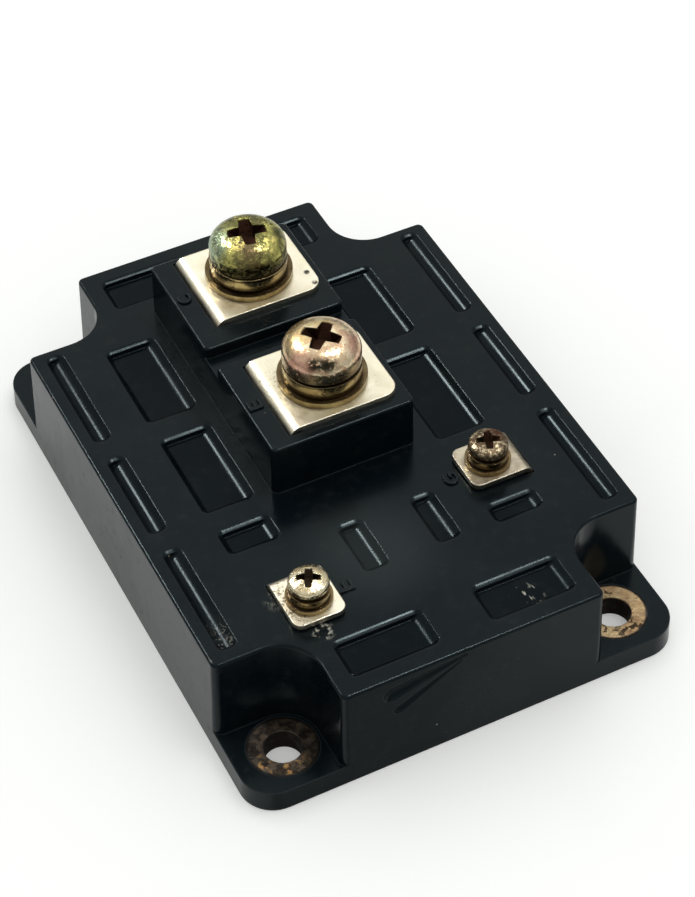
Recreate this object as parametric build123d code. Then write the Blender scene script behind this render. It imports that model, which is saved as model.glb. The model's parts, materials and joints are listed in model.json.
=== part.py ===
from build123d import *
import math
import os

# Single-switch power transistor module, with two M8 main terminals and two M4 auxiliary ones.
# Frame: +X across the width, +Y from the auxiliary end to the collector end, +Z up.
# Origin: centre of the base plate's underside. Millimetres and degrees.

# Moulded case
CASE_LENGTH = 110.0
CASE_WIDTH = 80.0
CASE_STANDOFF = 0.2
BODY_TOP = 21.4
WALL = 3.0
ROOF = 3.0
WALL_DRAFT = 1.9
BODY_RIM_RADIUS = 0.5
BODY_CORNER_RADIUS = 1.8
FLANGE_TOP = 4.4
FLANGE_CORNER_RADIUS = 6.0

# Mounting holes, their steel bushes and the notches above them
HOLE_FROM_SIDE = 9.0
HOLE_FROM_END = 8.5
NOTCH_RADIUS = 6.5
BUSH_OUTER = 12.0
BUSH_BORE = 6.5
BUSH_CLEARANCE = 0.05

# Base plate, which closes the case from below
BASE_THICKNESS = 3.0
BASE_LEDGE = 1.2
BASE_CLEARANCE = 0.15

# Raised terminal block
BLOCK_TOP = 31.6
BLOCK_WIDTH = 27.0
BLOCK_CENTRE_X = -1.2
BLOCK_DRAFT = 1.0
BLOCK_CORNER_RADIUS = 1.3
BLOCK_RIM_RADIUS = 0.4
BLOCK_NEAR_MARGIN = 2.5
BLOCK_FAR_MARGIN = 1.6
GROOVE_WIDTH = 4.2
GROOVE_DEPTH = 2.2
GROOVE_CORNER_RADIUS = 1.0

# Main terminals: folded plates over captive nuts
EMITTER_Y = 1.1
TERMINAL_PITCH = 29.2
MAIN_BEND_X = -10.3
MAIN_PLATE_LENGTH = 20.8
MAIN_PLATE_WIDTH = 18.0
MAIN_PLATE_THICKNESS = 1.0
MAIN_BEND_RADIUS = 1.0
MAIN_PLATE_CORNER = 2.8
MAIN_HOLE_FROM_BEND = 10.5

# Auxiliary terminals: gate folded from the right, auxiliary emitter folded from its far side
AUX_PLATE_LENGTH = 11.2
AUX_PLATE_WIDTH = 9.3
AUX_PLATE_THICKNESS = 1.0
AUX_BEND_RADIUS = 0.6
AUX_PLATE_CORNER = 1.6
AUX_HOLE_FROM_BEND = 6.3
GATE_BEND_X = 26.7
GATE_Y = -20.8
AUX_EMITTER_X = -19.8
AUX_EMITTER_BEND_Y = -27.9

# Main screws (M8), with their washers and nuts
MAIN_THREAD = 8.0
MAIN_HEAD = 13.6
MAIN_HEAD_HEIGHT = 6.4
MAIN_SCREW_LENGTH = 16.0
MAIN_RECESS_REACH = 3.9
MAIN_RECESS_ARM = 1.9
MAIN_FLAT_OUTER = 15.5
MAIN_FLAT_THICKNESS = 1.2
MAIN_SPRING_OUTER = 13.8
MAIN_SPRING_THICKNESS = 2.6
MAIN_SPRING_HEIGHT = 3.4
MAIN_NUT_FLATS = 13.0
MAIN_NUT_HEIGHT = 6.5
EMITTER_RECESS_TURN = 44.0
COLLECTOR_RECESS_TURN = -14.0
EMITTER_SPLIT_TURN = -27.0
COLLECTOR_SPLIT_TURN = 110.0

# Auxiliary screws (M4), with their washers and nuts
AUX_THREAD = 4.0
AUX_HEAD = 6.8
AUX_HEAD_HEIGHT = 1.9
AUX_SCREW_LENGTH = 8.0
AUX_RECESS_REACH = 2.3
AUX_RECESS_ARM = 1.1
AUX_FLAT_OUTER = 7.9
AUX_FLAT_THICKNESS = 0.9
AUX_SPRING_OUTER = 7.0
AUX_SPRING_THICKNESS = 1.4
AUX_SPRING_HEIGHT = 2.5
AUX_NUT_FLATS = 7.0
AUX_NUT_HEIGHT = 3.2
AUX_NUT_PROUD = 0.4
AUX_BOSS_WALL = 1.6
GATE_RECESS_TURN = -21.0
AUX_EMITTER_RECESS_TURN = -27.0
GATE_SPLIT_TURN = 150.0
AUX_EMITTER_SPLIT_TURN = 60.0

# Fits shared by all the fasteners and folded strips
THREAD_CLEARANCE = 0.1
WASHER_CLEARANCE = 0.25
PLATE_HOLE_CLEARANCE = 0.5
NUT_SIDE_CLEARANCE = 0.15
SCREW_TIP_CLEARANCE = 0.6
BORE_CLEARANCE = 0.5
BORE_FLOOR = 1.4
SLOT_CLEARANCE = 0.2
SPLIT_GAP = 1.0
SPRING_SEAT_CLEARANCE = 0.02

# Proportions of the screws: shares of head height, recess reach and recess arm
HEAD_RIM_SHARE = 0.3
HEAD_SHOULDER_SHARE = 0.4
RECESS_TOP_SHARE = 0.95
RECESS_DEPTH_SHARE = 0.7
RECESS_FLOOR_SHARE = 0.4
RECESS_ROOT_SHARE = 0.64
RECESS_TIP_SHARE = 0.18

# Pockets moulded into the top face
POCKET_DEPTH = 1.5
POCKET_CORNER = 1.6
SIDE_SLOT_WIDTH = 3.8
SIDE_SLOT_FROM_EDGE = 2.8
SIDE_SLOT_SPANS = ((-37.2, -13.2), (-9.5, 10.2), (14.0, 37.8))
END_POCKET_FROM_EDGE = 3.5
END_POCKET_DEPTH_Y = 8.5
END_POCKET_SPANS = ((-20.8, -4.3), (4.4, 20.7))
# Each inner pocket's limits: left, right, near, far
INNER_POCKETS = (
    (-27.2, -17.3, 14.2, 34.3),
    (-27.2, -17.3, -9.4, 10.3),
    (-27.2, -17.3, -19.6, -13.3),
    (15.4, 25.4, 13.7, 33.6),
    (15.4, 25.4, -12.2, 10.0),
    (15.3, 24.9, -33.4, -28.4),
    (-9.1, -3.9, -33.0, -21.2),
    (4.5, 9.5, -33.0, -21.2),
)

# Gouge in the near wall: each groove's root and tip as (x, z) on the wall
GOUGE_GROOVES = (
    {"root": (-15.0, 17.7), "tip": (-1.6, 20.4), "radius": 2.0, "depth": 0.9},
    {"root": (-13.8, 13.4), "tip": (-2.4, 19.5), "radius": 1.2, "depth": 0.7},
)
GOUGE_TIP_SHARE = 0.25

# Direct-bonded substrates, one at each side of the middle
SUBSTRATE_X = 50.0
SUBSTRATE_Y = 34.0
SUBSTRATE_GAP = 2.0
CERAMIC_THICKNESS = 0.6
COPPER_THICKNESS = 0.3
COPPER_MARGIN = 1.0
PAD_GAP = 1.0
EMITTER_PAD_WIDTH = 10.0
GATE_PAD_X = 12.0
GATE_PAD_WIDTH = 2.0
GATE_PAD_LENGTH = 26.0

# Chips and bond wires
CHIP_ROWS = 3
CHIP_PITCH = 10.6
CHIP_THICKNESS = 0.4
TRANSISTOR_SIZE = 9.6
TRANSISTOR_X = 4.0
DIODE_SIZE = 7.6
DIODE_X = -7.5
WIRE = 0.4
WIRE_FOOT = 1.4
WIRE_RISE = 2.2
WIRES_PER_CHIP = 2
WIRE_PITCH = 2.4
WIRE_FROM_PAD_EDGE = 1.6

# Inner ends of the busbars and leads
STRAP_HEIGHT = 11.0
LEG_WIDTH = 5.0
FOOT_LENGTH = 5.0
RAIL_WIDTH = 8.0
LEG_FROM_GAP = 2.0
COLLECTOR_LEG_FROM_EDGE = 2.0
EMITTER_LEG_FROM_EDGE = 4.0
LEAD_WIDTH = 3.0
LEAD_HEIGHT = 8.0

# How far a cutter runs past the face that it opens
OVERSHOOT = 1.0
# Most that an upright edge may lean
UPRIGHT_ANGLE = 25.0
# How near a point must be to a face to count as on it
FLAT_TOLERANCE = 0.001

# Values worked out from those above
HOLE_X = CASE_WIDTH / 2 - HOLE_FROM_SIDE
HOLE_Y = CASE_LENGTH / 2 - HOLE_FROM_END
CEILING = BODY_TOP - ROOF
COLLECTOR_Y = EMITTER_Y + TERMINAL_PITCH
BLOCK_NEAR_Y = EMITTER_Y - MAIN_PLATE_WIDTH / 2 - BLOCK_NEAR_MARGIN
BLOCK_FAR_Y = COLLECTOR_Y + MAIN_PLATE_WIDTH / 2 + BLOCK_FAR_MARGIN
GROOVE_NEAR_Y = EMITTER_Y + MAIN_PLATE_WIDTH / 2 + BLOCK_NEAR_MARGIN
CERAMIC_Z = BASE_THICKNESS + COPPER_THICKNESS
PAD_Z = CERAMIC_Z + CERAMIC_THICKNESS
PAD_TOP = PAD_Z + COPPER_THICKNESS
CHIP_TOP = PAD_TOP + CHIP_THICKNESS
COPPER_X = SUBSTRATE_X - 2 * COPPER_MARGIN
COPPER_Y = SUBSTRATE_Y - 2 * COPPER_MARGIN
SUBSTRATE_CENTRES = {
    "near": -(SUBSTRATE_Y + SUBSTRATE_GAP) / 2,
    "far": (SUBSTRATE_Y + SUBSTRATE_GAP) / 2,
}
CORNERS = {
    "near_left": (-1, -1),
    "near_right": (1, -1),
    "far_left": (-1, 1),
    "far_right": (1, 1),
}
# Where each terminal's fold stands, and how it is turned
MAIN_PLACES = (
    Pos(MAIN_BEND_X, EMITTER_Y, BLOCK_TOP),
    Pos(MAIN_BEND_X, COLLECTOR_Y, BLOCK_TOP),
)
AUX_SEAT_Z = BODY_TOP + AUX_NUT_PROUD
GATE_PLACE = Pos(GATE_BEND_X, GATE_Y, AUX_SEAT_Z) * Rot(0, 0, 180)
AUX_EMITTER_PLACE = Pos(AUX_EMITTER_X, AUX_EMITTER_BEND_Y, AUX_SEAT_Z) * Rot(0, 0, -90)
AUX_PLACES = (GATE_PLACE, AUX_EMITTER_PLACE)


# Basic shapes

def block(x0, x1, y0, y1, z0, z1):
    """Box between two corners."""
    centre = Pos((x0 + x1) / 2, (y0 + y1) / 2, (z0 + z1) / 2)
    return centre * Box(x1 - x0, y1 - y0, z1 - z0)


def rod(radius, z0, z1):
    """Cylinder on the Z axis between two heights."""
    return Pos(0, 0, (z0 + z1) / 2) * Cylinder(radius, z1 - z0)


def ring(outer, inner, thickness):
    """Flat ring standing on z = 0, given by its two diameters."""
    return rod(outer / 2, 0, thickness) - rod(inner / 2, -OVERSHOOT, thickness + OVERSHOOT)


def upright_edges(solid):
    """Edges that stand up, or nearly so."""
    least_rise = math.cos(math.radians(UPRIGHT_ANGLE))
    return [edge for edge in solid.edges() if abs(edge.tangent_at(0.5).Z) > least_rise]


def profile_prism(profile, width):
    """Prism of an XZ profile, centred on y = 0."""
    return extrude(Plane.XZ * profile, width / 2, both=True)


def hexagon(flats, z0, z1):
    """Hexagonal prism on the Z axis."""
    plan = RegularPolygon(flats / 2, 6, major_radius=False)
    return extrude(Pos(0, 0, z0) * plan, z1 - z0)


# Case

def notched_plan(inset):
    """Plan of the body, drawn in by inset, with a notch around each mounting hole."""
    plan = Rectangle(CASE_WIDTH - 2 * inset, CASE_LENGTH - 2 * inset)
    reach = NOTCH_RADIUS + inset
    size_x = 2 * (HOLE_FROM_SIDE + reach)
    size_y = 2 * (HOLE_FROM_END + reach)
    for side_x, side_y in CORNERS.values():
        x = side_x * (HOLE_X - reach + size_x / 2)
        y = side_y * (HOLE_Y - reach + size_y / 2)
        plan -= Pos(x, y) * RectangleRounded(size_x, size_y, reach)
    return plan


def rounded_plan():
    """Plan of the body at its foot, with its outer corners rounded."""
    plan = notched_plan(0)
    outer_corners = [
        vertex
        for vertex in plan.vertices()
        if abs(vertex.X) > CASE_WIDTH / 2 - FLAT_TOLERANCE or abs(vertex.Y) > CASE_LENGTH / 2 - FLAT_TOLERANCE
    ]
    return fillet(outer_corners, BODY_CORNER_RADIUS)


def tapered(plan, z0, z1, draft):
    """Plan raised from z0 to z1 with its walls leaning in by draft degrees."""
    return extrude(Pos(0, 0, z0) * plan, z1 - z0, taper=draft)


def case_body():
    """Notched body with a rounded upper rim."""
    body = tapered(rounded_plan(), CASE_STANDOFF, BODY_TOP, WALL_DRAFT)
    rim = body.faces().sort_by(Axis.Z)[-1].edges()
    return fillet(rim, BODY_RIM_RADIUS)


def flange():
    """Thin slab whose corners carry the bushes."""
    plan = RectangleRounded(CASE_WIDTH, CASE_LENGTH, FLANGE_CORNER_RADIUS)
    return tapered(plan, CASE_STANDOFF, FLANGE_TOP, WALL_DRAFT)


def terminal_block():
    """Raised block under the main terminals, with a creepage groove between them."""
    length = BLOCK_FAR_Y - BLOCK_NEAR_Y
    plan = RectangleRounded(BLOCK_WIDTH, length, BLOCK_CORNER_RADIUS)
    solid = tapered(plan, CEILING, BLOCK_TOP, BLOCK_DRAFT)
    solid = Pos(BLOCK_CENTRE_X, (BLOCK_NEAR_Y + BLOCK_FAR_Y) / 2, 0) * solid
    groove_floor = BLOCK_TOP - GROOVE_DEPTH
    left = BLOCK_CENTRE_X - BLOCK_WIDTH
    right = BLOCK_CENTRE_X + BLOCK_WIDTH
    groove_far_y = GROOVE_NEAR_Y + GROOVE_WIDTH
    solid -= block(left, right, GROOVE_NEAR_Y, groove_far_y, groove_floor, BLOCK_TOP + OVERSHOOT)
    groove_corners = [
        edge
        for edge in upright_edges(solid)
        if edge.center().Z > groove_floor
        and abs(edge.center().Y - (GROOVE_NEAR_Y + groove_far_y) / 2) < GROOVE_WIDTH
    ]
    solid = fillet(groove_corners, GROOVE_CORNER_RADIUS)
    rim = solid.edges().group_by(Axis.Z)[-1]
    return fillet(rim, BLOCK_RIM_RADIUS)


def pocket(x0, x1, y0, y1):
    """Cutter for one shallow pocket with round corners."""
    plan = Pos((x0 + x1) / 2, (y0 + y1) / 2, BODY_TOP) * RectangleRounded(x1 - x0, y1 - y0, POCKET_CORNER)
    return extrude(plan, -POCKET_DEPTH)


def pocket_limits():
    """Limits of every pocket: side slots, end pockets and inner pockets."""
    limits = list(INNER_POCKETS)
    outer = CASE_WIDTH / 2 - SIDE_SLOT_FROM_EDGE
    inner = outer - SIDE_SLOT_WIDTH
    for near, far in SIDE_SLOT_SPANS:
        limits.append((inner, outer, near, far))
        limits.append((-outer, -inner, near, far))
    end = CASE_LENGTH / 2 - END_POCKET_FROM_EDGE
    for left, right in END_POCKET_SPANS:
        limits.append((left, right, end - END_POCKET_DEPTH_Y, end))
        limits.append((left, right, -end, -end + END_POCKET_DEPTH_Y))
    return limits


def wall_point(x, z, outward):
    """Point on the near wall at (x, z), moved outward from it."""
    lean = (z - CASE_STANDOFF) * math.tan(math.radians(WALL_DRAFT))
    return Vector(x, -CASE_LENGTH / 2 + lean - outward, z)


def gouge(root, tip, radius, depth):
    """Cutter for one groove of the gouge: a long cone with a round root."""
    start = wall_point(*root, radius - depth)
    end = wall_point(*tip, (radius - depth) * GOUGE_TIP_SHARE)
    reach = end - start
    cone = Cone(radius, radius * GOUGE_TIP_SHARE, reach.length, align=(Align.CENTER, Align.CENTER, Align.MIN))
    cutter = Plane(start, z_dir=reach.normalized()) * cone
    return cutter + Pos(start) * Sphere(radius)


def slot_cutter(width, thickness, bend_radius, depth):
    """Cutter for a folded strip's slot, eased at the inside of the bend."""
    wall = thickness + SLOT_CLEARANCE
    ease = bend_radius + SLOT_CLEARANCE
    points = (
        (-SLOT_CLEARANCE, -depth),
        (-SLOT_CLEARANCE, OVERSHOOT),
        (wall + ease, OVERSHOOT),
        (wall + ease, 0),
        (wall, -ease),
        (wall, -depth),
    )
    return profile_prism(make_face(Polyline(*points, close=True)), width + 2 * SLOT_CLEARANCE)


def nut_seat(flats, nut_height, thread, bore_floor):
    """Cutter for a captive nut and the screw's tip below it; z = 0 is the face under the plate."""
    seat = hexagon(flats + 2 * NUT_SIDE_CLEARANCE, -nut_height, OVERSHOOT)
    return seat + rod(thread / 2 + BORE_CLEARANCE, bore_floor, 0)


def main_tip_depth():
    """How far the main screw's tip lies below the block's top."""
    stack = MAIN_PLATE_THICKNESS + MAIN_FLAT_THICKNESS + MAIN_SPRING_HEIGHT
    return MAIN_SCREW_LENGTH - stack


def aux_tip_depth():
    """How far the auxiliary screw's tip lies below its plate's underside."""
    stack = AUX_PLATE_THICKNESS + AUX_FLAT_THICKNESS + AUX_SPRING_HEIGHT
    return AUX_SCREW_LENGTH - stack


def case():
    """The whole moulding: one piece, hollow from below."""
    solid = case_body() + flange()
    solid -= extrude(Pos(0, 0, BASE_THICKNESS) * notched_plan(WALL), CEILING - BASE_THICKNESS)
    rebate = notched_plan(WALL - BASE_LEDGE)
    solid -= extrude(rebate, BASE_THICKNESS)
    solid += terminal_block()
    aux_bore_depth = aux_tip_depth() + SCREW_TIP_CLEARANCE
    boss_radius = AUX_NUT_FLATS / math.sqrt(3) + AUX_BOSS_WALL
    boss_bottom = -aux_bore_depth - BORE_FLOOR
    for place in AUX_PLACES:
        solid += place * Pos(AUX_HOLE_FROM_BEND, 0, 0) * rod(boss_radius, boss_bottom, -ROOF / 2)
    solid -= [pocket(*limits) for limits in pocket_limits()]
    for place in MAIN_PLACES:
        depth = BLOCK_TOP - CEILING + OVERSHOOT
        solid -= place * slot_cutter(MAIN_PLATE_WIDTH, MAIN_PLATE_THICKNESS, MAIN_BEND_RADIUS, depth)
        seat = nut_seat(MAIN_NUT_FLATS, MAIN_NUT_HEIGHT, MAIN_THREAD, -main_tip_depth() - SCREW_TIP_CLEARANCE)
        solid -= place * Pos(MAIN_HOLE_FROM_BEND, 0, 0) * seat
    for place in AUX_PLACES:
        depth = OVERSHOOT - boss_bottom
        solid -= place * slot_cutter(AUX_PLATE_WIDTH, AUX_PLATE_THICKNESS, AUX_BEND_RADIUS, depth)
        seat = nut_seat(AUX_NUT_FLATS, AUX_NUT_HEIGHT, AUX_THREAD, -aux_bore_depth)
        solid -= place * Pos(AUX_HOLE_FROM_BEND, 0, 0) * seat
    bush_hole = rod(BUSH_OUTER / 2 + BUSH_CLEARANCE, 0, FLANGE_TOP + OVERSHOOT)
    for side_x, side_y in CORNERS.values():
        solid -= Pos(side_x * HOLE_X, side_y * HOLE_Y, 0) * bush_hole
    for groove in GOUGE_GROOVES:
        solid -= gouge(**groove)
    return solid


def bush():
    """Steel sleeve in a flange corner, from the heatsink's face to the flange's top."""
    return ring(BUSH_OUTER, BUSH_BORE, FLANGE_TOP)


def base_plate():
    """Flat plate in the case's rebate, against the ledge."""
    return extrude(notched_plan(WALL - BASE_LEDGE + BASE_CLEARANCE), BASE_THICKNESS)


# Folded strips

def folded_strip(length, width, thickness, bend_radius, corner, drop, hole_from_bend, hole):
    """Strip folded over an edge: the plate runs along +X from the fold, the riser goes down."""
    points = (
        (length, 0),
        (length, thickness),
        (0, thickness),
        (0, -drop),
        (thickness, -drop),
        (thickness, 0),
    )
    profile = make_face(Polyline(*points, close=True))
    inner = profile.vertices().sort_by_distance((thickness, 0, 0))[0]
    profile = fillet(inner, bend_radius)
    outer = profile.vertices().sort_by_distance((0, thickness, 0))[0]
    profile = fillet(outer, bend_radius + thickness)
    strip = profile_prism(profile, width)
    free_corners = strip.edges().filter_by(Axis.Z).group_by(Axis.X)[-1]
    strip = fillet(free_corners, corner)
    return strip - Pos(hole_from_bend, 0, 0) * rod(hole / 2, -OVERSHOOT, thickness + OVERSHOOT)


def main_strip():
    """Folded plate and riser shared by the two main terminals."""
    hole = MAIN_THREAD + 2 * PLATE_HOLE_CLEARANCE
    return folded_strip(
        MAIN_PLATE_LENGTH, MAIN_PLATE_WIDTH, MAIN_PLATE_THICKNESS, MAIN_BEND_RADIUS,
        MAIN_PLATE_CORNER, BLOCK_TOP - STRAP_HEIGHT, MAIN_HOLE_FROM_BEND, hole,
    )


def aux_strip():
    """Folded plate and riser shared by the two auxiliary terminals."""
    hole = AUX_THREAD + 2 * PLATE_HOLE_CLEARANCE
    return folded_strip(
        AUX_PLATE_LENGTH, AUX_PLATE_WIDTH, AUX_PLATE_THICKNESS, AUX_BEND_RADIUS,
        AUX_PLATE_CORNER, AUX_SEAT_Z - LEAD_HEIGHT, AUX_HOLE_FROM_BEND, hole,
    )


def leg(x, foot_x, y0, y1, thickness):
    """Leg from the strap down to a pad, with its foot turned towards foot_x."""
    upright = block(x, x + thickness, y0, y1, PAD_TOP, STRAP_HEIGHT + thickness)
    return upright + block(min(x, foot_x), max(x + thickness, foot_x), y0, y1, PAD_TOP, PAD_TOP + thickness)


def leg_spans():
    """Near and far leg positions along Y, either side of the gap between the substrates."""
    start = SUBSTRATE_GAP / 2 + COPPER_MARGIN + LEG_FROM_GAP
    return ((-start - LEG_WIDTH, -start), (start, start + LEG_WIDTH))


def emitter_busbar():
    """Emitter terminal, its strap and a leg to each substrate's emitter pad."""
    t = MAIN_PLATE_THICKNESS
    bar = MAIN_PLACES[0] * main_strip()
    leg_x = -COPPER_X / 2 + EMITTER_LEG_FROM_EDGE
    spans = leg_spans()
    near = min(EMITTER_Y - MAIN_PLATE_WIDTH / 2, spans[0][0])
    far = max(EMITTER_Y + MAIN_PLATE_WIDTH / 2, spans[1][1])
    bar += block(leg_x, MAIN_BEND_X + t, near, far, STRAP_HEIGHT, STRAP_HEIGHT + t)
    for y0, y1 in spans:
        bar += leg(leg_x, leg_x + t - EMITTER_LEG_FROM_EDGE, y0, y1, t)
    return bar


def collector_busbar():
    """Collector terminal, its cross strap, the rail along the pads and a leg to each collector pad."""
    t = MAIN_PLATE_THICKNESS
    bar = MAIN_PLACES[1] * main_strip()
    leg_x = COPPER_X / 2 - COLLECTOR_LEG_FROM_EDGE - t
    rail_x = leg_x + t - RAIL_WIDTH
    near = COLLECTOR_Y - MAIN_PLATE_WIDTH / 2
    far = COLLECTOR_Y + MAIN_PLATE_WIDTH / 2
    spans = leg_spans()
    bar += block(MAIN_BEND_X, leg_x + t, near, far, STRAP_HEIGHT, STRAP_HEIGHT + t)
    bar += block(rail_x, leg_x + t, spans[0][0], near, STRAP_HEIGHT, STRAP_HEIGHT + t)
    for y0, y1 in spans:
        bar += leg(leg_x, leg_x - FOOT_LENGTH, y0, y1, t)
    return bar


def gate_lead():
    """Gate terminal and the narrow bridge to the near substrate's gate pad."""
    t = AUX_PLATE_THICKNESS
    between_rows = SUBSTRATE_CENTRES["near"] - CHIP_PITCH / 2
    y0 = between_rows - LEAD_WIDTH / 2
    y1 = between_rows + LEAD_WIDTH / 2
    lead = GATE_PLACE * aux_strip()
    lead += block(GATE_PAD_X - t / 2, GATE_BEND_X, y0, y1, LEAD_HEIGHT, LEAD_HEIGHT + t)
    return lead + block(GATE_PAD_X - t / 2, GATE_PAD_X + t / 2, y0, y1, PAD_TOP, LEAD_HEIGHT + t)


def aux_emitter_lead():
    """Auxiliary emitter terminal and its foot on the near substrate's emitter pad."""
    t = AUX_PLATE_THICKNESS
    x0 = AUX_EMITTER_X - LEAD_WIDTH
    y1 = AUX_EMITTER_BEND_Y
    lead = AUX_EMITTER_PLACE * aux_strip()
    lead += block(x0, AUX_EMITTER_X, y1 - t, y1, PAD_TOP, LEAD_HEIGHT + t)
    return lead + block(x0, AUX_EMITTER_X, y1 - t, y1 + LEAD_WIDTH, PAD_TOP, PAD_TOP + t)


# Fasteners

def pan_head(diameter, height):
    """Domed pan head standing on z = 0: upright rim, round shoulder, and a crown that meets it smoothly."""
    radius = diameter / 2
    side = HEAD_RIM_SHARE * height
    shoulder = HEAD_SHOULDER_SHARE * height
    # The shoulder's centre lies inside the crown's circle by the shoulder's radius
    inset = radius - shoulder
    rise = height - side
    crown = (inset**2 + rise**2 - shoulder**2) / (2 * (rise - shoulder))
    turn = math.asin((crown - rise) / (crown - shoulder))
    outline = (
        Line((0, height), (0, 0))
        + Line((0, 0), (radius, 0))
        + Line((radius, 0), (radius, side))
        + CenterArc((inset, side), shoulder, 0, math.degrees(turn))
        + CenterArc((0, height - crown), crown, math.degrees(turn), 90 - math.degrees(turn))
    )
    return revolve(Plane.XZ * make_face(outline), Axis.Z)


def cross_recess(reach, arm, top):
    """Cutter for a cross recess whose four wings spread towards the middle and narrow with depth."""
    depth = RECESS_DEPTH_SHARE * reach
    floor = RECESS_FLOOR_SHARE * reach
    span = 2 * reach
    root = RECESS_ROOT_SHARE * arm
    tip = RECESS_TIP_SHARE * arm
    quarter = [(span, -tip), (span, tip), (root, root)]
    outline = []
    for _ in range(4):
        outline += quarter
        quarter = [(-y, x) for x, y in quarter]
    wings = extrude(make_face(Polyline(*outline, close=True)), 2 * depth)
    cone = Cone(floor, 2 * reach - floor, 2 * depth, align=(Align.CENTER, Align.CENTER, Align.MIN))
    return Pos(0, 0, top - depth) * (wings & cone)


def pan_screw(thread, head, head_height, length, reach, arm, turn):
    """Cross-recessed pan screw with its head's underside on z = 0."""
    shank = rod(thread / 2, -length, 0)
    recess = cross_recess(reach, arm, RECESS_TOP_SHARE * head_height)
    # The wings are cut clear of the head's seam, and the whole screw is turned afterwards
    screw = shank + pan_head(head, head_height) - Rot(0, 0, 45) * recess
    return Rot(0, 0, turn - 45) * screw


def spring_washer(outer, thread, thickness, height, turn):
    """Split ring, uncompressed: a square bar wound through most of one left-handed turn."""
    inner = thread / 2 + WASHER_CLEARANCE
    width = outer / 2 - inner
    middle = inner + width / 2
    rise = height - thickness - 2 * SPRING_SEAT_CLEARANCE
    share = 1 - SPLIT_GAP / (2 * math.pi * middle)
    path = Helix(pitch=rise / share, height=rise, radius=middle, lefthand=True)
    start = Plane(path @ 0, x_dir=(1, 0, 0), z_dir=path % 0)
    bar = sweep(start * Rectangle(width, thickness), path, is_frenet=True)
    return Rot(0, 0, turn) * Pos(0, 0, thickness / 2 + SPRING_SEAT_CLEARANCE) * bar


def flat_washer(outer, thread, thickness):
    """Plain washer."""
    return ring(outer, thread + 2 * WASHER_CLEARANCE, thickness)


def hex_nut(flats, thread, height):
    """Captive nut hanging below z = 0, where its plate rests on it."""
    hole = rod(thread / 2 + THREAD_CLEARANCE, -height - OVERSHOOT, OVERSHOOT)
    return hexagon(flats, -height, 0) - hole


def main_fasteners():
    """Screws, washers and nuts of the two main terminals, as groups of solids."""
    spots = [place * Pos(MAIN_HOLE_FROM_BEND, 0, 0) for place in MAIN_PLACES]
    turns = (EMITTER_RECESS_TURN, COLLECTOR_RECESS_TURN)
    splits = (EMITTER_SPLIT_TURN, COLLECTOR_SPLIT_TURN)
    flat_z = MAIN_PLATE_THICKNESS
    spring_z = flat_z + MAIN_FLAT_THICKNESS
    head_z = spring_z + MAIN_SPRING_HEIGHT
    groups = {"main_nuts": [], "main_flat_washers": [], "main_spring_washers": [], "main_screws": []}
    for spot, turn, split in zip(spots, turns, splits):
        groups["main_nuts"].append(spot * hex_nut(MAIN_NUT_FLATS, MAIN_THREAD, MAIN_NUT_HEIGHT))
        flat = flat_washer(MAIN_FLAT_OUTER, MAIN_THREAD, MAIN_FLAT_THICKNESS)
        groups["main_flat_washers"].append(spot * Pos(0, 0, flat_z) * flat)
        spring = spring_washer(
            MAIN_SPRING_OUTER, MAIN_THREAD, MAIN_SPRING_THICKNESS, MAIN_SPRING_HEIGHT, split,
        )
        groups["main_spring_washers"].append(spot * Pos(0, 0, spring_z) * spring)
        screw = pan_screw(
            MAIN_THREAD, MAIN_HEAD, MAIN_HEAD_HEIGHT, MAIN_SCREW_LENGTH,
            MAIN_RECESS_REACH, MAIN_RECESS_ARM, turn,
        )
        groups["main_screws"].append(spot * Pos(0, 0, head_z) * screw)
    return groups


def aux_fasteners():
    """Screws, washers and nuts of the two auxiliary terminals, as groups of solids."""
    spots = [place * Pos(AUX_HOLE_FROM_BEND, 0, 0) for place in AUX_PLACES]
    turns = (GATE_RECESS_TURN, AUX_EMITTER_RECESS_TURN)
    splits = (GATE_SPLIT_TURN, AUX_EMITTER_SPLIT_TURN)
    flat_z = AUX_PLATE_THICKNESS
    spring_z = flat_z + AUX_FLAT_THICKNESS
    head_z = spring_z + AUX_SPRING_HEIGHT
    groups = {"aux_nuts": [], "aux_flat_washers": [], "aux_spring_washers": [], "aux_screws": []}
    for spot, turn, split in zip(spots, turns, splits):
        groups["aux_nuts"].append(spot * hex_nut(AUX_NUT_FLATS, AUX_THREAD, AUX_NUT_HEIGHT))
        flat = flat_washer(AUX_FLAT_OUTER, AUX_THREAD, AUX_FLAT_THICKNESS)
        groups["aux_flat_washers"].append(spot * Pos(0, 0, flat_z) * flat)
        spring = spring_washer(
            AUX_SPRING_OUTER, AUX_THREAD, AUX_SPRING_THICKNESS, AUX_SPRING_HEIGHT, split,
        )
        groups["aux_spring_washers"].append(spot * Pos(0, 0, spring_z) * spring)
        screw = pan_screw(
            AUX_THREAD, AUX_HEAD, AUX_HEAD_HEIGHT, AUX_SCREW_LENGTH,
            AUX_RECESS_REACH, AUX_RECESS_ARM, turn,
        )
        groups["aux_screws"].append(spot * Pos(0, 0, head_z) * screw)
    return groups


# Substrates, chips and bond wires

def slab(centre_x, centre_y, size_x, size_y, z0, thickness):
    """Flat rectangular layer."""
    return Pos(centre_x, centre_y, z0 + thickness / 2) * Box(size_x, size_y, thickness)


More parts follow.
